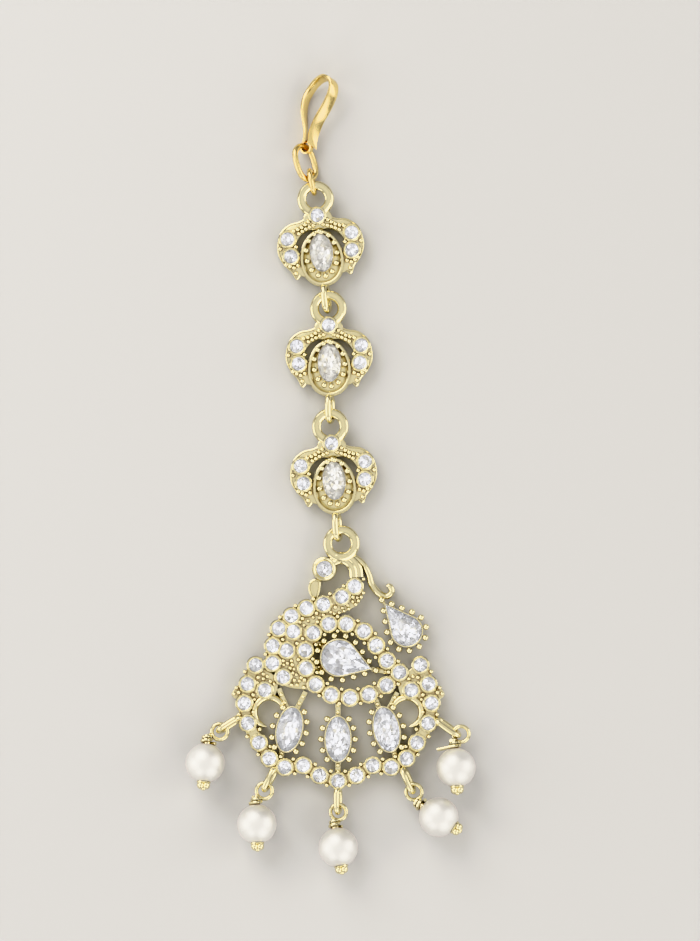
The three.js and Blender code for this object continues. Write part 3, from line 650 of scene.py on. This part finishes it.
def foil(name, pale, deep):
    """Mirror foil behind the back facets, its tilt and cast changing from cut to cut."""
    made, tree, surface = material(name)
    surface.inputs["Metallic"].default_value = 0.65
    surface.inputs["Roughness"].default_value = 0.14
    where = node(tree, "ShaderNodeTexCoord")
    cut = node(tree, "ShaderNodeTexVoronoi", Vector=where.outputs["Object"], Scale=1 / (CUT_SIZE * MM))
    cast = node(
        tree, "ShaderNodeMix", {"data_type": "RGBA"},
        _0=cut.outputs["Distance"], _6=linear(pale), _7=linear(deep),
    )
    tree.links.new(cast.outputs[2], surface.inputs["Base Color"])
    facing = node(tree, "ShaderNodeNewGeometry")
    lean = node(
        tree, "ShaderNodeVectorMath", {"operation": "SUBTRACT"},
        _0=cut.outputs["Color"], _1=(0.5, 0.5, 0.5),
    )
    tilted = node(
        tree, "ShaderNodeVectorMath", {"operation": "MULTIPLY_ADD"},
        _0=lean.outputs["Vector"], _1=(CUT_TILT, CUT_TILT, CUT_TILT), _2=facing.outputs["Normal"],
    )
    facet = node(tree, "ShaderNodeVectorMath", {"operation": "NORMALIZE"}, _0=tilted.outputs["Vector"])
    tree.links.new(facet.outputs["Vector"], surface.inputs["Normal"])
    return made


# Silver foil, polished: a cold white sparkle.
silvering = foil("silver_foil_polished", "#ffffff", "#f0f1f5")
# Gilt foil, dulled: the faint straw cast of the links' centre stones.
gilding = foil("gilt_foil_dulled", "#ffffff", "#f6f3ea")


def brilliant(shells, outline, girdle, crown, depth, table, mains=8):
    """A brilliant cut: outline(turn, share) is a point of the plan, turn round it and share of the
    way out from the middle. The pavilion's faces take the second material."""
    thin = 0.06  # height of the girdle
    lean = math.cos(math.pi / mains)

    def ring(share, height, points, shift=0.0):
        return [Vector((*outline((i + shift) / points, share), height)) for i in range(points)]

    mid = (1 + table) / 2
    tiers = [(0.68, 0.42), (0.34, 0.8)]  # two rings of corners: share of the way out, of the depth
    points = ring(table, girdle + crown, mains)
    points += ring(mid, girdle + crown * (1 - (mid * lean - table) / (1 - table)), mains, 0.5)
    points += ring(1, girdle, 2 * mains)
    points += ring(1, girdle - thin, 2 * mains)
    points += ring(tiers[0][0], girdle - thin - depth * tiers[0][1], 2 * mains, 0.5)
    points += ring(tiers[1][0], girdle - thin - depth * tiers[1][1], mains, 0.5)
    points.append(Vector((*outline(0, 0), girdle - thin - depth)))
    star, upper, lower, tier, keel, culet = mains, 2 * mains, 4 * mains, 6 * mains, 8 * mains, 9 * mains
    front, back = [list(range(mains))], []
    for k in range(mains):
        after, before, wide = (k + 1) % mains, (k - 1) % mains, 2 * mains
        a, b, c = 2 * k, 2 * k + 1, (2 * k + 2) % wide
        front += [(k, star + k, after), (k, star + before, upper + a, star + k)]
        front += [(star + k, upper + a, upper + b), (star + k, upper + b, upper + c)]
        back += [(upper + a, upper + b, lower + b, lower + a), (upper + b, upper + c, lower + c, lower + b)]
        back += [(tier + a, lower + a, lower + b), (tier + a, lower + b, tier + b)]
        back += [(tier + b, lower + b, lower + c), (tier + b, lower + c, tier + c)]
        back += [(keel + k, tier + a, tier + b), (keel + k, tier + b, keel + after)]
        back += [(keel + after, tier + b, tier + c)]
        back += [(culet, keel + k, keel + after)]
    shells.add(points, front + back, [0] * len(front) + [1] * len(back))


def oval_outline(x, y, a, b, turn=0.0):
    """An oval stone's outline, for brilliant."""
    spin = Matrix.Rotation(math.radians(turn), 2)

    def at(share_round, share_out):
        t = 2 * math.pi * share_round
        return Vector((x, y)) + spin @ Vector((a * math.cos(t), b * math.sin(t))) * share_out

    return at


def set_stone(place, name, stands_for, outline, cut, foiled=silvering):
    """Cuts a stone, foils its back and sets it in its place."""
    stone = Shells(place)
    brilliant(stone, outline, **cut)
    stone.piece(name, [crystal, foiled], [stands_for], crease=0)


ROUND_CUT = {"girdle": 2.06, "crown": 0.24, "depth": 0.26, "table": 0.56}
OVAL_CUT = {"girdle": 2.0, "crown": 0.55, "depth": 0.85, "table": 0.52, "mains": 10}
STONE_NAMES = ["top", "side_1", "side_2", "side_3", "side_4"]
for number in (1, 2, 3):
    place = link_place(number)
    for name, (x, y) in zip(STONE_NAMES, LINK_STONES):
        cut = {**ROUND_CUT, "girdle": ROUND_CUT["girdle"] + (TOP_RISE if name == "top" else 0)}
        outline = oval_outline(x, y, STONE_R, STONE_R, 11 * x)
        set_stone(place, f"link_crystal_{number}_{name}", f"link_{number}_stone_{name}", outline, cut)
    outline = oval_outline(0, 0, OVAL_A, OVAL_B)
    stands_for = f"link_{number}_stone_centre"
    set_stone(place, f"link_crystal_{number}_centre", stands_for, outline, OVAL_CUT, gilding)

# The pendant casting: one pierced brass casting, plated as the links are. A peacock: round head,
# fluted neck, a tail scroll, and a body of stone rows round a pear. Below it a scalloped rim joins
# the wings, three claw-set ovals hang on struts, and five cast loops carry the drops.

MIDDLE_OVAL_Y = -10.15
heart = middle("pendant_stone_middle")  # the pendant's own frame is found from this stone
PENDANT = Matrix.Translation((heart.x, heart.y - MIDDLE_OVAL_Y, 0))
PLATE_TOP = 1.55
PAVE_ROW_WIDTH = 1.6
BAIL = (0.45, 15.2)
NECK_TOP = 1.95
SCROLL_TOP = 1.75
BEAK_TOP = 1.5
BEAK_RIM_R = 0.14
HEAD = (-1.76, 11.9, 1.05)  # x, y and its stone's radius
BACK_ROW = [
    (2.16, 9.67), (0.5, 8.3), (-1.9, 7.35), (-4.1, 6.85), (-6.05, 5.8), (-7.7, 4.2), (-8.45, 1.95),
    (-8.5, -0.3),
]
SECOND_ROW = [(-5.8, 3.8), (-6.65, 1.35), (-7.1, -2.1)]
BODY_RING = [
    (-3.2, 3.65), (-1.2, 4.8), (1.1, 4.8), (3.35, 3.85), (4.95, 2.0), (6.35, 0.0), (8.0, -1.5),
    (6.3, -3.15), (4.0, -4.35), (1.55, -4.8), (-0.9, -4.4), (-2.9, -3.05), (-4.15, -0.95), (-4.25, 1.35),
]
RIM_HALF = [
    # right half of the wing and the scalloped rim, down to the middle stone
    (10.7, -0.55), (11.75, -3), (12.15, -5.5), (11.7, -8.1), (10.25, -10.6),
    (8.9, -12.65), (6.9, -13.8), (4.5, -13.55), (2.4, -14.85), (0, -15.55),
]
RIM = mirrored(RIM_HALF) + RIM_HALF[-2::-1]
INNER_STONES = [(9.5, -3.8), (-9.5, -3.8)]
NECK = [
    # x, y, width
    (-0.9, 12.75, 1.3), (0.3, 13.35, 1.5), (1.5, 13.0, 1.65), (2.25, 12.0, 1.7), (2.4, 10.85, 1.75),
]
TAIL_SCROLL = [
    (1.6, 13.7, 1.0), (3.2, 12.7, 0.8), (4.0, 11.2, 0.7), (4.35, 10.0, 0.75), (5.2, 8.85, 0.85),
    (6.3, 8.35, 0.95), (7.0, 9.0, 0.8), (6.75, 9.7, 0.75), (6.45, 9.55, 0.7),
]
BEAK = [
    (-2.4, 10.3), (-3.26, 10.43), (-3.74, 9.67), (-3.59, 8.7), (-2.94, 7.75), (-2.6, 8.49),
    (-2.4, 9.35),
]
BREAST = [
    (-7.4, 3.6), (-8.2, 0.2), (-7.4, -2.9), (-5, -3.7), (-3.2, -3.3), (-4.4, 0), (-3.4, 3.4),
    (-1.5, 5.2), (2.2, 7), (3.1, 8.4), (3.3, 9.6), (2.4, 9.8), (-2, 6.9), (-5.8, 5.4),
]
WING_ROOT = [
    (7.8, -2.5), (9.2, -1.2), (10.8, -0.6), (11.6, -3), (11.8, -5.2), (10.6, -5.4), (9.4, -4.8),
    (8.2, -4.6),
]
ROUND_HOLE = (8.95, -6.65, 1.92)  # x, y, radius of the line that the scroll follows
SCROLL = [
    # degrees round the hole and width
    (-80, 0.2), (-52, 0.65), (-24, 0.85), (4, 0.9), (32, 0.9), (60, 0.9), (88, 0.9), (114, 0.85),
    (140, 0.75), (165, 0.55),
]
LEAF = [(13.05, -3.2), (13.6, -3.85), (13.85, -4.4), (13.35, -4.9), (12.8, -4.9), (12.7, -3.6)]
STRUTS = [
    # one end's x, y and the other's
    (4.6, -4.3, 5.35, -6.2), (7.7, -4.1, 6.6, -6.2), (-4.2, -4.0, -5.35, -6.2),
    (-7.7, -3.6, -6.6, -6.2), (0, -5, 0, -7.4), (0, -12.9, 0, -15), (7.2, -11.4, 7.6, -13.4),
    (-7.2, -11.4, -7.6, -13.4), (-1.8, 1.8, -3.6, 2.7), (-1.9, -0.7, -3.8, -1.1),
    (4.4, -1.1, 7, -1.5), (-8.6, -0.4, -10.4, -0.5),
]
STRUT_WIDE = 0.72
STRUT_GRAIN_R = 0.28
CUP_FOOT = 0.9
PAVE_CUP_TOP = 1.94
GRAIN_R = 0.29
NOTCH = 0.95  # distance of a notch grain from the line through its row of stones
GROUND_PITCH = 0.36  # of the honeycomb of places that are tried for a grain
GROUND_ROW = 0.87 * GROUND_PITCH
GROUND_R = 0.28
GRAIN_LINES = [
    # radius, how many, then the line that the grains follow
    (0.27, 7, (3.3, 10.6), (3.4, 9.4), (3.1, 8.4), (2.3, 7.3)),
    (0.24, 12, (2.5, 8.2), (1.2, 7.15), (-0.6, 6.4), (-2.5, 5.95), (-4.0, 5.1), (-4.8, 3.9)),
    (0.24, 9, (2.0, 7.0), (0.4, 6.3), (-1.4, 5.95), (-3.0, 5.3)),
    (0.25, 7, (-5.5, 2.75), (-5.3, 1.7), (-5.45, 0.5), (-5.8, -0.6), (-5.4, -1.8)),
    (0.24, 6, (-6.4, 0.1), (-7.3, -0.9), (-6.2, -1.0), (-5.0, -2.6)),
    (0.24, 8, (10.3, -2.1), (10.7, -4.2), (11.0, -6.2), (10.9, -7.2)),
    (0.24, 8, (-10.3, -2.1), (-10.7, -4.2), (-11.0, -6.2), (-10.9, -7.2)),
    (0.24, 5, (8.3, -2.6), (8.2, -3.6), (8.5, -4.7)),
    (0.24, 5, (-8.3, -2.4), (-8.3, -3.5), (-8.6, -4.7)),
    (0.28, 3, (13.2, -3.5), (13.5, -4.3), (13.0, -4.9)),
    (0.28, 3, (-13.2, -3.5), (-13.5, -4.3), (-13.0, -4.9)),
]
OVALS = [
    # name, x, y, turn in degrees
    ("left", -6.3, -8.9, -12), ("middle", 0, MIDDLE_OVAL_Y, 0), ("right", 6.3, -8.9, 12),
]
PENDANT_OVAL_A = 1.62
PENDANT_OVAL_B = 2.9
BEZEL_WALL = 0.2
BEZEL_LOW = 0.3
BEZEL_FLOOR = 0.8
CLAW_ANGLES = (-50, -25, 0, 25, 50)
CLAW_LINE = (2.22, 3.42)  # half width and half height of the oval that they stand on
CLAW_R = 0.42
CLAW_Z = 1.85
CLAW_PEG = [(0.3, 0.7), (0.3, CLAW_Z)]  # radius and height
CLAW_ARM = rounded(0.2, 0.9, 1.65, 0.1)
PEARS = [
    # name, x, y, round end's radius, tip distance, turn, girdle height
    ("body", 0.13, 0.39, 2.3, 4.3, -19, 2.2),
    ("tail", 8.93, 3.85, 1.95, 4.45, 129, 1.95),
]
PEAR_CLAWS = 14
RIM_LOOP_TALL = 2.4
RIM_LOOP_WIRE = 0.38
RIM_LOOPS = [
    # one end's x, y and the other's
    (-12.5, -7.2, -15.8, -9.3), (-8, -13.7, -9.7, -17.05), (0, -16.2, 0, -20), (8.3, -13.7, 9.9, -17.3),
    (12.5, -7.4, 15.95, -9.85),
]


def pear_line(x, y, r, reach, turn):
    """The closed line of a pear: an arc about (x, y) and two tangents that meet at the tip."""
    opening = math.acos(r / reach)
    bend = [Vector((reach, 0))]
    steps = 60
    for i in range(steps + 1):
        t = opening + 2 * (math.pi - opening) * i / steps
        bend.append(Vector((r * math.cos(t), r * math.sin(t))))
    spin = Matrix.Rotation(math.radians(turn), 2)
    return [Vector((x, y)) + spin @ p for p in bend]


def along_line(points, amount):
    """Points at equal spacing along a closed line of straight stretches, from its first point."""
    ring = points + points[:1]
    reach = [0.0]
    for a, b in zip(ring, ring[1:]):
        reach.append(reach[-1] + (b - a).length)
    found, k = [], 0
    for i in range(amount):
        goal = reach[-1] * i / amount
        while reach[k + 1] < goal:
            k += 1
        found.append(ring[k].lerp(ring[k + 1], (goal - reach[k]) / (reach[k + 1] - reach[k])))
    return found


def tapered(shells, rows, section, spans):
    """Carries section(half width) along rows of x, y, width."""
    widths = [row[2] for row in rows]

    def at(share):
        place = share * (len(widths) - 1)
        k = min(int(place), len(widths) - 2)
        return section((widths[k] + (widths[k + 1] - widths[k]) * (place - k)) / 2)

    shells.sweep(route([row[:2] for row in rows], spans), at)


def fluted(low, high, flutes=2, deep=0.12, crown=0.15):
    """A section with rounded ribs along it."""
    def section(half):
        tops = []
        for i in range(6 * flutes + 1):
            t = i / (6 * flutes)
            ridge = abs(math.sin(math.pi * flutes * t)) ** 0.5
            swell = math.sin(math.pi * t) ** 0.6 * crown
            tops.append((half * (2 * t - 1), high - crown - deep * (1 - ridge) + swell))
        return [(-half, low)] + tops + [(half, low)]
    return section


def half_round(low, high):
    """A flat-backed section with a rounded top."""
    def section(half):
        arc = [math.pi * i / 8 for i in range(9)]
        rise = min(half, 0.8 * (high - low))
        top = [(half * math.cos(t), high - rise + rise * math.sin(t)) for t in arc]
        return [(half, low)] + top + [(-half, low)]
    return section


def claw(shells, x, y, from_x, from_y):
    """A grain on a short arm that reaches out from its setting."""
    shells.sweep([Vector((from_x, from_y, 0)), Vector((x, y, 0))], lambda share: CLAW_ARM)
    shells.turned(CLAW_PEG, 8, place=Matrix.Translation((x, y, 0)))
    shells.ball(x, y, CLAW_Z, CLAW_R, 12)


grains_set = []


def grain(shells, x, y, height, r, sides=9):
    """Raises a grain, unless another stands in its place."""
    if all(math.hypot(x - u, y - v) > 0.88 * (r + s) for u, v, s in grains_set):
        grains_set.append((x, y, r))
        shells.ball(x, y, height, r, sides)


def notch_grains(shells, rows, closed=False):
    """Grains in the notches between neighbouring stones of a row, on both sides of it."""
    for a, b in zip(rows, rows[1:] + rows[:1] if closed else rows[1:]):
        start, end = Vector(a), Vector(b)
        along = (end - start).normalized()
        for side in (-NOTCH, NOTCH):
            p = (start + end) / 2 + Vector((-along.y, along.x)) * side
            if beside_stones(p, 0.4 * GRAIN_R):
                grain(shells, p.x, p.y, PLATE_TOP + 0.2, GRAIN_R, 10)


PAVE_STONES = BACK_ROW + SECOND_ROW + BODY_RING + RIM + INNER_STONES


def beside_stones(p, r):
    """Whether a grain of radius r at p leaves every stone's cup free."""
    return all((p.xy - Vector(stone)).length > CUP_R + 0.6 * r for stone in PAVE_STONES)


def beaded_ground(edge_line):
    """Honeycomb places inside a closed line, clear of it and of the stones."""
    left, right = min(p.x for p in edge_line), max(p.x for p in edge_line)
    bottom, top = min(p.y for p in edge_line), max(p.y for p in edge_line)
    found = []
    for row in range(int((top - bottom) / GROUND_ROW) + 1):
        for column in range(int((right - left) / GROUND_PITCH) + 1):
            p = Vector((left + GROUND_PITCH * (column + row % 2 / 2), bottom + GROUND_ROW * row, 0))
            inside = False
            for a, b in zip(edge_line, edge_line[1:] + edge_line[:1]):
                if (a.y > p.y) != (b.y > p.y) and p.x < a.x + (b.x - a.x) * (p.y - a.y) / (b.y - a.y):
                    inside = not inside
            clear = min((p - q).length for q in edge_line) > GROUND_R
            if inside and clear and beside_stones(p, GROUND_R):
                found.append(p)
    return found


casting = Shells(PENDANT)
sink = count()  # plates that cross are cast in one, so no two of their faces share a level


def plate_levels():
    """A plate's bottom and top, each a little inside those of the plate before."""
    step = 0.02 * next(sink)
    return step / 2, PLATE_TOP - step


flat_ring(casting, *BAIL)
for rows, closed in [(BACK_ROW, False), (SECOND_ROW, False), (BODY_RING, True), (RIM, False)]:
    band(casting, rows, PAVE_ROW_WIDTH, *plate_levels(), 16 * len(rows), closed)
    notch_grains(casting, rows, closed)
prism(casting, route(BREAST, 90, closed=True), *plate_levels(), edge=0.12)
for side in (1, -1):
    turn_over = mirrored if side < 0 else list
    prism(casting, route(turn_over(WING_ROOT), 60, closed=True), *plate_levels(), edge=0.12)
    prism(casting, route(turn_over(LEAF), 40, closed=True), *plate_levels(), edge=0.12)
    hole_x, hole_y, hole_r = ROUND_HOLE
    scroll = []
    for angle, width in SCROLL:
        t = math.radians(angle)
        x, y = hole_x + hole_r * math.cos(t), hole_y + hole_r * math.sin(t)
        scroll.append((side * x, y, width))
    tapered(casting, scroll, half_round(0, SCROLL_TOP), 40)
for x0, y0, x1, y1 in STRUTS:
    low, high = plate_levels()
    ends = [Vector((x0, y0, 0)), Vector((x1, y1, 0))]
    casting.sweep(ends, lambda share: rounded(STRUT_WIDE / 2, low, high, 0.14))
    for share in (0.3, 0.7):
        x, y = x0 + (x1 - x0) * share, y0 + (y1 - y0) * share
        casting.ball(x, y, high + 0.12, STRUT_GRAIN_R, 9)
tapered(casting, NECK, fluted(0.05, NECK_TOP), 48)
tapered(casting, TAIL_SCROLL, half_round(0.08, SCROLL_TOP), 70)
beak_line = route(BEAK, 40, closed=True)
prism(casting, beak_line, 0.1, BEAK_TOP, edge=0.2)
casting.sweep([p + Vector((0, 0, BEAK_TOP)) for p in beak_line], wire(BEAK_RIM_R, 8), closed=True)
head_x, head_y, head_r = HEAD
head_cup = [
    # radius and height, from the back's edge over the double rim and down inside
    (1.62, 0), (1.62, 1.7), (1.52, 1.92), (1.36, 1.98), (1.2, 1.9), (1.12, 1.98), (head_r, 1.95),
    (head_r, 1.2), (0.3, 1.0),
]
casting.turned(head_cup, 36, place=Matrix.Translation((head_x, head_y, 0)))
for i, (x, y) in enumerate(PAVE_STONES):
    cup(casting, x, y, CUP_FOOT, PAVE_CUP_TOP - 0.008 * (i % 5))  # cups that meet share no level
for r, grains, *line in GRAIN_LINES:
    for p in route(line, grains - 1):
        if beside_stones(p, r):
            grain(casting, p.x, p.y, PLATE_TOP + 0.1, r)
for outline in [BREAST, WING_ROOT, mirrored(WING_ROOT)]:
    for p in beaded_ground(route(outline, 90, closed=True)):
        grain(casting, p.x, p.y, PLATE_TOP + 0.08, GROUND_R)

for _, x, y, turn in OVALS:
    spin = Matrix.Rotation(math.radians(turn), 2)
    stone_line = ellipse(x, y, PENDANT_OVAL_A, PENDANT_OVAL_B, 44, turn)
    wall_line = ellipse(x, y, PENDANT_OVAL_A + 0.08, PENDANT_OVAL_B + 0.08, 44, turn)
    oval_wall(casting, wall_line, BEZEL_WALL, BEZEL_LOW, 2.02)
    prism(casting, stone_line, 0.2, BEZEL_FLOOR, edge=0.05)
    for half in (0, 180):
        for angle in CLAW_ANGLES:
            t = math.radians(angle + half)
            ray = Vector((math.cos(t), math.sin(t)))
            out = Vector((x, y)) + spin @ (ray * Vector(CLAW_LINE))
            root = Vector((x, y)) + spin @ (ray * Vector((PENDANT_OVAL_A, PENDANT_OVAL_B)))
            claw(casting, *out, *root)
for _, x, y, r, reach, turn, girdle in PEARS:
    stone_line = pear_line(x, y, r, reach, turn)
    wall_line = pear_line(x, y, r + 0.08, reach + 0.12, turn)
    oval_wall(casting, wall_line, BEZEL_WALL, BEZEL_LOW, girdle + 0.06)
    prism(casting, stone_line, 0.2, BEZEL_FLOOR, edge=0.05)
    roots = along_line(stone_line, PEAR_CLAWS)
    outs = along_line(pear_line(x, y, r + 0.62, reach + 0.75, turn), PEAR_CLAWS)
    for out, root in zip(outs, roots):
        claw(casting, *out, *root)
for ends in RIM_LOOPS:
    standing_loop(casting, ends, RIM_LOOP_TALL, RIM_LOOP_WIRE, LOOP_LEAN)
casting.piece("pendant_casting", [champagne], ["pendant"])

# The pendant's stones: the small rounds of the rows are bright cut in their cups, and the six
# large ones, three ovals, two pears and the peacock's eye, stand proud so that they catch light.

PAVE_CUT = {"girdle": 1.9, "crown": 0.24, "depth": 0.27, "table": 0.56}
HUNG_OVAL_CUT = {"girdle": 2.0, "crown": 0.5, "depth": 0.85, "table": 0.5, "mains": 12}
PEAR_CUT = {"crown": 0.6, "depth": 1.05, "table": 0.5, "mains": 12}
HEAD_CUT = {"girdle": 1.95, "crown": 0.4, "depth": 0.7, "table": 0.56}

pave = Shells(PENDANT)
for i, (x, y) in enumerate(PAVE_STONES):
    brilliant(pave, oval_outline(x, y, STONE_R, STONE_R, 17 * i), **PAVE_CUT)
pave.piece("pendant_pave_crystals", [crystal, silvering], ["pendant"], crease=0)

for name, x, y, turn in OVALS:
    outline = oval_outline(x, y, PENDANT_OVAL_A, PENDANT_OVAL_B, turn)
    set_stone(PENDANT, f"pendant_crystal_{name}", f"pendant_stone_{name}", outline, HUNG_OVAL_CUT)


def pear_outline(x, y, r, reach, turn):
    """A pear's line, shrunk towards the middle of its round end as share_out falls."""
    line = along_line(pear_line(x, y, r, reach, turn), 240)
    hub = Vector((x, y)) + Matrix.Rotation(math.radians(turn), 2) @ Vector((0.12 * reach, 0))

    def at(share_round, share_out):
        return hub + (line[round(240 * share_round) % 240] - hub) * share_out

    return at


for name, x, y, r, reach, turn, girdle in PEARS:
    outline = pear_outline(x, y, r, reach, turn)
    cut = {**PEAR_CUT, "girdle": girdle}
    set_stone(PENDANT, f"pendant_crystal_{name}", f"pendant_stone_{name}", outline, cut)
outline = oval_outline(head_x, head_y, head_r, head_r)
set_stone(PENDANT, "pendant_crystal_head", "pendant_stone_head", outline, HEAD_CUT)

# The drops: each pearl is threaded on a wire that ends in a small bead cap below it. Above the
# pearl the wire is bent to an eye through its cast loop, and wound about twice round its stem.

PEARL_R = 2.55
PEARL_BANDS = 28
PIN_RISE = 9  # degrees that the pin climbs towards the cap
DROP_EYE_R = 1.03
EYE_WIRE = 0.25
WRAP_TOP_R = 0.42
WRAP_FOOT_R = 0.68
WRAP_WIRE = 0.23
WRAP_START = -3.55
WRAP_LENGTH = 0.85
WRAP_TURNS = 1.8
WRAP_STEPS = 60
DROPS = [
    # eye x, y in the pendant's frame, the pin's heading, the cut end's length, the wrap's first turn
    (-15.35, -9.2, -94, 0.9, 20),
    (-9.55, -16.86, -88, 0.5, 200),
    (0.05, -19.6, -81, 0.6, 20),
    (9.85, -17, -33, 0.7, 60),
    (15.95, -9.5, -87, 2.1, 190),
]
PIN_R = 0.21
BORE_R = 0.24
ON_X = Matrix.Rotation(math.pi / 2, 4, "Y")  # lays what is turned about Z along the pin
CAP_BALLS_AT = 2.9  # distances along the pin from the pearl's middle
CAP_BALLS_OUT = 0.5
CAP_BALL_R = 0.5
CAP_TIP_AT = 3.2
CAP_TIP_R = 0.4

# Champagne gold over drawn wire: the same pale plate, smooth and bright, with painted shade in its hollows.
champagne_wire = metal("champagne_gold_plated_brass_wire", "#f5ebc0", "#94783c", 0.16, 0.3, 0.0008)


def bead_cap(shells):
    """A saucer against the pearl, four small balls round the pin's end and one on it."""
    saucer = [
        (0.2, 2.3), (0.78, 2.34), (0.92, 2.44), (0.88, 2.6), (0.5, 2.8), (0.22, 3.0), (0.22, 3.3),
    ]
    shells.turned(saucer, 24, place=ON_X)
    for i in range(4):
        t = math.radians(45 + 90 * i)
        y, z = CAP_BALLS_OUT * math.cos(t), CAP_BALLS_OUT * math.sin(t)
        shells.ball(CAP_BALLS_AT, y, z, CAP_BALL_R, 14)
    shells.ball(CAP_TIP_AT, 0, 0, CAP_TIP_R, 14)


# Imitation pearl, a glass bead dipped in pearl essence: ivory satin with one soft highlight, and a
# faint pink bloom towards its edge.
pearl_coat, tree, surface = material("imitation_pearl_essence_coat")
surface.inputs["Metallic"].default_value = 0.7
surface.inputs["Roughness"].default_value = 0.48
surface.inputs["IOR"].default_value = 1.53
surface.inputs["Subsurface Weight"].default_value = 0.1
surface.inputs["Subsurface Radius"].default_value = (0.8, 0.7, 0.65)
surface.inputs["Subsurface Scale"].default_value = 0.6 * MM
surface.inputs["Coat Weight"].default_value = 0.12
surface.inputs["Coat Roughness"].default_value = 0.4
surface.inputs["Sheen Weight"].default_value = 0.4
surface.inputs["Sheen Tint"].default_value = linear("#ffd2d8")
surface.inputs["Sheen Roughness"].default_value = 0.25
where = node(tree, "ShaderNodeTexCoord")
bloom = node(tree, "ShaderNodeTexNoise", Vector=where.outputs["Object"], Scale=1 / (2.2 * MM), Detail=2.0)
body_tone = node(
    tree, "ShaderNodeMix", {"data_type": "RGBA"},
    _0=bloom.outputs["Fac"], _6=linear("#e9e7e2"), _7=linear("#dbd9d4"),
)
tree.links.new(body_tone.outputs[2], surface.inputs["Base Color"])
skin = node(tree, "ShaderNodeTexNoise", Vector=where.outputs["Object"], Scale=1 / (0.25 * MM))
dimple = node(tree, "ShaderNodeBump", Strength=0.25, Distance=0.004 * MM, Height=skin.outputs["Fac"])
tree.links.new(dimple.outputs["Normal"], surface.inputs["Normal"])

for number, (eye_x, eye_y, heading, end_length, end_turn) in enumerate(DROPS, 1):
    pin_place = (
        Matrix.Translation(middle(f"pearl_{number}"))
        @ Matrix.Rotation(math.radians(heading), 4, "Z")
        @ Matrix.Rotation(math.radians(-PIN_RISE), 4, "Y")
    )
    drop = Shells(pin_place)
    coil = []
    for i in range(WRAP_STEPS + 1):
        t = 2 * math.pi * WRAP_TURNS * i / WRAP_STEPS + math.radians(end_turn)
        r = WRAP_TOP_R + (WRAP_FOOT_R - WRAP_TOP_R) * i / WRAP_STEPS
        x = WRAP_START + WRAP_LENGTH * i / WRAP_STEPS
        coil.append(Vector((x, r * math.cos(t), r * math.sin(t))))
    last = coil[-1]
    leave = (coil[-1] - coil[-2]).normalized()
    coil += [last + leave * end_length * share for share in (0.4, 0.7, 1.0)]
    drop.sweep(coil, wire(WRAP_WIRE, 9), side=Vector((1, 0, 0)))
    core = [
        (PIN_R, WRAP_START - 0.2), (0.23, WRAP_START), (0.48, WRAP_START + WRAP_LENGTH), (0.5, -2.4),
    ]
    drop.turned(core, 16, place=ON_X)
    drop.turned([(PIN_R, -2.6), (PIN_R, 2.6)], 10, place=ON_X)
    bead_cap(drop)
    drop.place = Matrix()
    ring_middle = PENDANT @ Vector((eye_x, eye_y, RING_MID))
    stem = pin_place @ Vector((WRAP_START, 0, 0))
    toward = (stem - ring_middle).xy.normalized()
    start = math.atan2(toward.y, toward.x)
    around = []
    for i in range(40):
        t = start + 2 * math.pi * i / 40
        around.append(ring_middle + Vector((DROP_EYE_R * math.cos(t), DROP_EYE_R * math.sin(t), 0)))
    drop.sweep(around, wire(EYE_WIRE, 10), closed=True)
    drop.sweep([around[0], (around[0] + stem) / 2, stem], wire(EYE_WIRE, 10), side=Vector((0, 0, 1)))
    drop.piece(f"drop_wire_and_cap_{number}", [champagne_wire], [f"drop_wire_{number}"])

    pearl = Shells(pin_place)
    profile = [(BORE_R, -2.3), (0.3, -2.5)]  # the bore's mouths are a little wider
    for i in range(PEARL_BANDS + 1):
        t = math.radians(-82 + 164 * i / PEARL_BANDS)
        profile.append((PEARL_R * math.cos(t), PEARL_R * math.sin(t)))
    profile += [(0.3, 2.5), (BORE_R, 2.3)]
    pearl.turned(profile, 48, looped=True, place=ON_X)
    pearl.piece(f"drop_pearl_{number}", [pearl_coat], [f"pearl_{number}"], crease=60)
